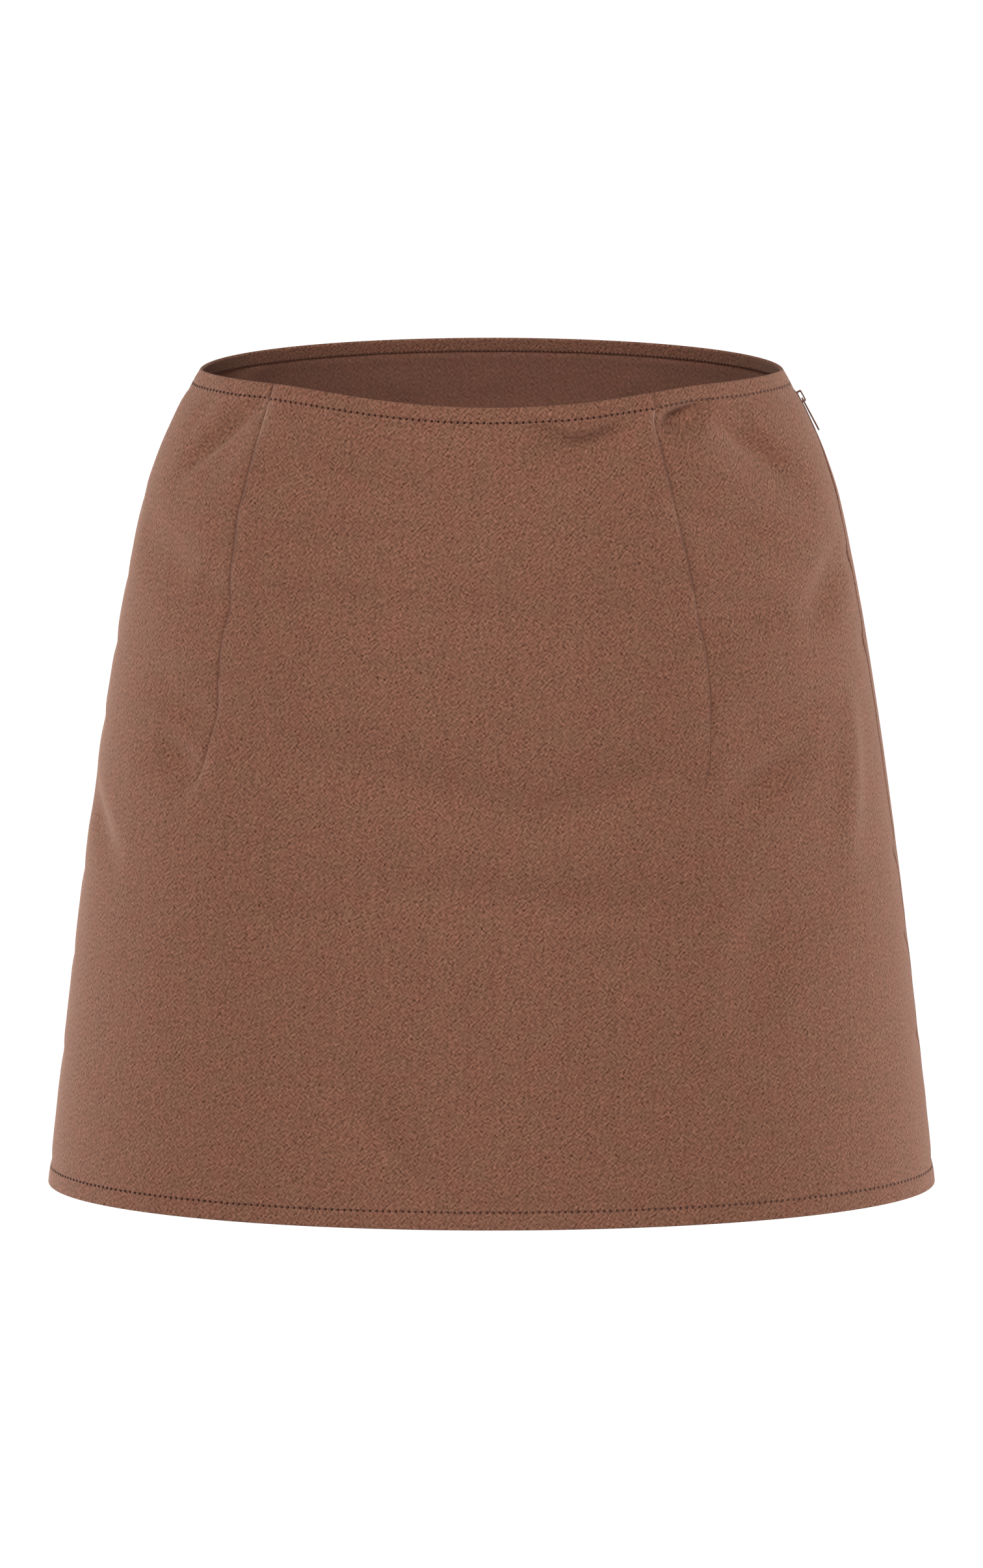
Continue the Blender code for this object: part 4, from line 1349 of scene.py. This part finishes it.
class SKIRT_OT_topstitching(bpy.types.Operator):
    """Sews the waist and hem: stitches and needle holes, outside and inside"""

    bl_idname = "skirt.topstitching"
    bl_label = "Topstitching"

    def execute(self, context):
        sewing = context.scene.skirt_sewing
        thread = sewing_thread(sewing.thread_and_shade_colour)
        hole = pierced_cloth(sewing.hole_shadow_colour)
        width = sewing.thread / MM
        rows = (
            ("front_waist", front_lines, WAIST_STITCH, sewing.front_pitch),
            ("back_waist", back_lines, WAIST_STITCH, sewing.back_pitch),
            ("front_hem", front_lines, LENGTH - HEM_STITCH, sewing.hem_pitch),
            ("back_hem", back_lines, LENGTH - HEM_STITCH, sewing.hem_pitch),
        )
        for seed, (place, lines_of, row, metres) in enumerate(rows):
            pitch = metres / MM
            lines = [cloth_line(lines_of, row, inside, shift=pitch / 2) for inside in (False, True)]
            part = stitch_part(pitch * STITCH_SHARE, width)
            item = repeat_along(f"{place}_stitches", lines, part, pitch, thread, 0.05, seed)
            finish_piece(item)
            # Needle holes: ovals of painted shadow at each hole.
            lines = [cloth_line(lines_of, row, inside) for inside in (False, True)]
            part = hole_part(pitch * HOLE_LENGTH, min(WIDEST_HOLE, pitch * HOLE_WIDTH))
            item = repeat_along(f"{place}_needle_holes", lines, part, pitch, hole, 0.0, seed)
            finish_piece(item)
        return {"FINISHED"}


class SKIRT_OT_overlock(bpy.types.Operator):
    """Overlocks the raw edges of the seam allowances"""

    bl_idname = "skirt.overlock"
    bl_label = "Overlocking"

    def execute(self, context):
        sewing = context.scene.skirt_sewing
        pitch = sewing.overlock_pitch / MM
        lines = []
        for _, path, side in seam_sides():
            rows = allowance_rows(WAIST_TURNING + EDGE_GAP, HEM_TURNING + EDGE_GAP)
            lines.append(edge_line(path, rows, last=side > 0, downwards=side < 0))
        thread = bpy.data.materials["spun_polyester_thread"]
        part = overlock_part(pitch, OVERLOCK_THREAD)
        item = repeat_along("overlock_stitches", lines, part, pitch, thread, 0.06, 11)
        finish_piece(item)
        return {"FINISHED"}


class SKIRT_OT_zip_tapes(bpy.types.Operator):
    """Makes the zip's two tapes and sews them down"""

    bl_idname = "skirt.zip_tapes"
    bl_label = "Zip tapes"

    def execute(self, context):
        settings = context.scene.skirt_zip
        weave = tape_weave(settings.tape_colour)
        rows = list(np.linspace(ZIP_TOP, ZIP_TAPE_END, 60))
        lines = []
        for side, panel in ((-1, "front"), (1, "back")):
            points, lengths = strip_grid(tape_path(side), rows)
            name = f"zip_tape_{panel}_weave"
            item = make_sheet(name, points, lengths, ZIP_TAPE, (weave, weave))
            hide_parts(f"zip_tape_{panel}")
            sewn = np.linspace(ZIP_TOP + 2.0, ZIP_TAPE_END - 2.0, 80)
            seam = [Ring(row).length(left_seam(row)) for row in sewn]
            turns = np.array([Ring(row).turn(at + side * ZIP_TAPE_STITCH) for row, at in zip(sewn, seam)])
            normal = -outward(turns, drop_of(turns, sewn))
            lines.append((cloth_points(turns, sewn, ZIP_TAPE_DEPTH + ZIP_TAPE / 2), normal))
        thread = bpy.data.materials["spun_polyester_thread"]
        item = repeat_along("zip_stitches", lines, stitch_part(2.2, 0.28), 2.6, thread, 0.05, 21)
        finish_piece(item)
        return {"FINISHED"}


class SKIRT_OT_zip_teeth(bpy.types.Operator):
    """Winds the zip's coil and sets its bottom stop"""

    bl_idname = "skirt.zip_teeth"
    bl_label = "Zip teeth and stop"

    def execute(self, context):
        settings = context.scene.skirt_zip
        pitch = settings.tooth_pitch / MM
        rows = np.linspace(ZIP_COIL_TOP, ZIP_BOTTOM - 0.5, 120)
        turns = left_seam(rows)
        line = (cloth_points(turns, rows, ZIP_TEETH_DEPTH), -outward(turns, drop_of(turns, rows)))
        nylon = drawn_nylon(settings.coil_colour)
        item = repeat_along("zip_teeth", [line], tooth_part(pitch), pitch, nylon, 0.0, 31)
        finish_piece(item)
        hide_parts("zip_coil")
        depth = ZIP_TEETH_DEPTH - STOP_WALL / 2
        end = SEAM_GAP + STOP_LENGTH
        half = ZIP_HALF_WIDTH + 0.2
        outline = rounded_box((SEAM_GAP, -half), (end, half), 0.5)
        groove = rounded_box((SEAM_GAP + 0.9, -1.0), (end - 0.9, 1.0), 0.3)
        mesh = plate_mesh("zip_stop_clamp", outline, groove, -depth - STOP_WALL, -depth, on_seam(ZIP_BOTTOM))
        item = add_object("zip_stop_clamp", mesh, lacquered_zinc(settings.lacquer_colour))
        add_bevel(item, 0.2)
        finish_piece(item)
        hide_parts("zip_bottom_stop")
        return {"FINISHED"}


class SKIRT_OT_zip_slider(bpy.types.Operator):
    """Makes the slider and its pull tab"""

    bl_idname = "skirt.zip_slider"
    bl_label = "Zip slider and pull"

    def execute(self, context):
        lacquer = lacquered_zinc(context.scene.skirt_zip.lacquer_colour)
        place = on_seam(SLIDER_DROP)
        item = join_meshes("zip_slider_cast", [slider_mesh(place), bridge_mesh(place)], lacquer)
        add_bevel(item, 0.18)
        finish_piece(item)
        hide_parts("zip_slider")
        down = NECK_START + NECK[0] - BRIDGE_WALL - PIVOT_CLEARANCE - PULL_WALL / 2
        pivot = EYE_FLOOR + EYE_HEIGHT / 2

        def hang(u, v, w):
            return place(u + down, v, w + pivot)

        half = PULL_WALL / 2
        hole = rounded_box((half, -PULL_EYE[1] / 2), (half + PULL_EYE[0], PULL_EYE[1] / 2), 0.5)
        mesh = plate_mesh("zip_pull_tab", pull_outline(), hole, -half, half, hang)
        item = add_object("zip_pull_tab", mesh, lacquer)
        add_bevel(item, 0.14)
        finish_piece(item, PULL_TAB)
        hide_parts("zip_pull")
        return {"FINISHED"}


def add_light(name, power, size, place, target):
    """An oblong lamp that faces the target."""
    light = bpy.data.lights.new(name, "AREA")
    light.shape = "RECTANGLE"
    light.size, light.size_y = size
    light.energy = power
    item = bpy.data.objects.new(name, light)
    item.location = place
    item.rotation_euler = (Vector(target) - Vector(place)).to_track_quat("-Z", "Y").to_euler()
    bpy.context.scene.collection.objects.link(item)


def make_room(brightness):
    """A white room: the camera sees plain white, and the skirt gets its soft, weaker light."""
    world = bpy.data.worlds.new("White room")
    bpy.context.scene.world = world
    world.use_nodes = True
    tree = world.node_tree
    tree.nodes.clear()
    seen = add_node(tree, "ShaderNodeBackground", {"Color": (1.0, 1.0, 1.0, 1.0), "Strength": 1.0})
    soft = add_node(tree, "ShaderNodeBackground", {"Color": (1.0, 1.0, 1.0, 1.0), "Strength": brightness})
    path = add_node(tree, "ShaderNodeLightPath")
    mix = add_node(tree, "ShaderNodeMixShader", {0: path.outputs["Is Camera Ray"], 1: soft, 2: seen})
    add_node(tree, "ShaderNodeOutputWorld", {"Surface": mix})


class SKIRT_OT_stage(bpy.types.Operator):
    """Sets the floor, the lights and the camera of the photograph"""

    bl_idname = "skirt.stage"
    bl_label = "Stage"

    def execute(self, context):
        stage = context.scene.skirt_stage
        target = Vector((0.0, 0.0, stage.target))
        shape = bpy.data.meshes.new("floor")
        side = 20.0
        corners = [(x * side, y * side, stage.floor) for x, y in ((-1, -1), (1, -1), (1, 1), (-1, 1))]
        shape.from_pydata(corners, [], [(0, 1, 2, 3)])
        add_object("floor", shape, paper_sweep())
        make_room(stage.sky)
        add_light("front_light", stage.front_power, (1.3, 1.0), (-0.4, -2.9, 1.9), target)
        add_light("fill_light", stage.fill_power, (2.6, 1.0), (0.2, -3.4, -0.1), target)
        add_light("left_side_light", 1.2 * stage.side_power, (0.8, 0.7), (2.3, 0.75, -0.5), target)
        add_light("right_side_light", stage.side_power, (0.8, 0.7), (-2.1, 0.95, -0.5), target)
        add_light("top_light", stage.top_power, (1.6, 1.6), (0.0, 0.3, 2.4), target)
        lens = bpy.data.cameras.new("Camera")
        lens.sensor_width = SENSOR
        lens.lens = SENSOR * stage.distance / (PHOTO_HEIGHT * PIXEL)
        lens.clip_end = 100.0
        camera = bpy.data.objects.new("Camera", lens)
        away = Vector((0.0, -math.cos(stage.elevation), math.sin(stage.elevation)))
        camera.location = target + away * stage.distance
        camera.rotation_euler = (-away).to_track_quat("-Z", "Y").to_euler()
        context.scene.collection.objects.link(camera)
        context.scene.camera = camera
        context.scene.view_settings.view_transform = "Standard"
        return {"FINISHED"}


OPERATORS = (
    SKIRT_OT_stage,
    SKIRT_OT_panels,
    SKIRT_OT_allowances,
    SKIRT_OT_topstitching,
    SKIRT_OT_overlock,
    SKIRT_OT_zip_tapes,
    SKIRT_OT_zip_teeth,
    SKIRT_OT_zip_slider,
)


class SKIRT_PT_pieces(bpy.types.Panel):
    """Lists the skirt's settings and the steps that make its pieces"""

    bl_idname = "SKIRT_PT_pieces"
    bl_label = "Micro Mini Skirt"
    bl_space_type = "VIEW_3D"
    bl_region_type = "UI"
    bl_category = "Skirt"

    def draw(self, context):
        for name in SETTINGS:
            settings = getattr(context.scene, name)
            for key in settings.__annotations__:
                self.layout.prop(settings, key)
        for operator in OPERATORS:
            self.layout.operator(operator.bl_idname)


SETTINGS = {
    "skirt_cloth": SkirtClothSettings,
    "skirt_sewing": SkirtSewingSettings,
    "skirt_zip": SkirtZipSettings,
    "skirt_stage": SkirtStageSettings,
}


def register():
    for name, group in SETTINGS.items():
        bpy.utils.register_class(group)
        setattr(bpy.types.Scene, name, bpy.props.PointerProperty(type=group))
    for operator in OPERATORS:
        bpy.utils.register_class(operator)
    bpy.utils.register_class(SKIRT_PT_pieces)


def unregister():
    bpy.utils.unregister_class(SKIRT_PT_pieces)
    for operator in reversed(OPERATORS):
        bpy.utils.unregister_class(operator)
    for name, group in SETTINGS.items():
        delattr(bpy.types.Scene, name)
        bpy.utils.unregister_class(group)


def main():
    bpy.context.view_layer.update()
    register()
    for operator in OPERATORS:
        getattr(bpy.ops.skirt, operator.bl_idname.split(".")[1])()


if __name__ == "__main__":
    main()
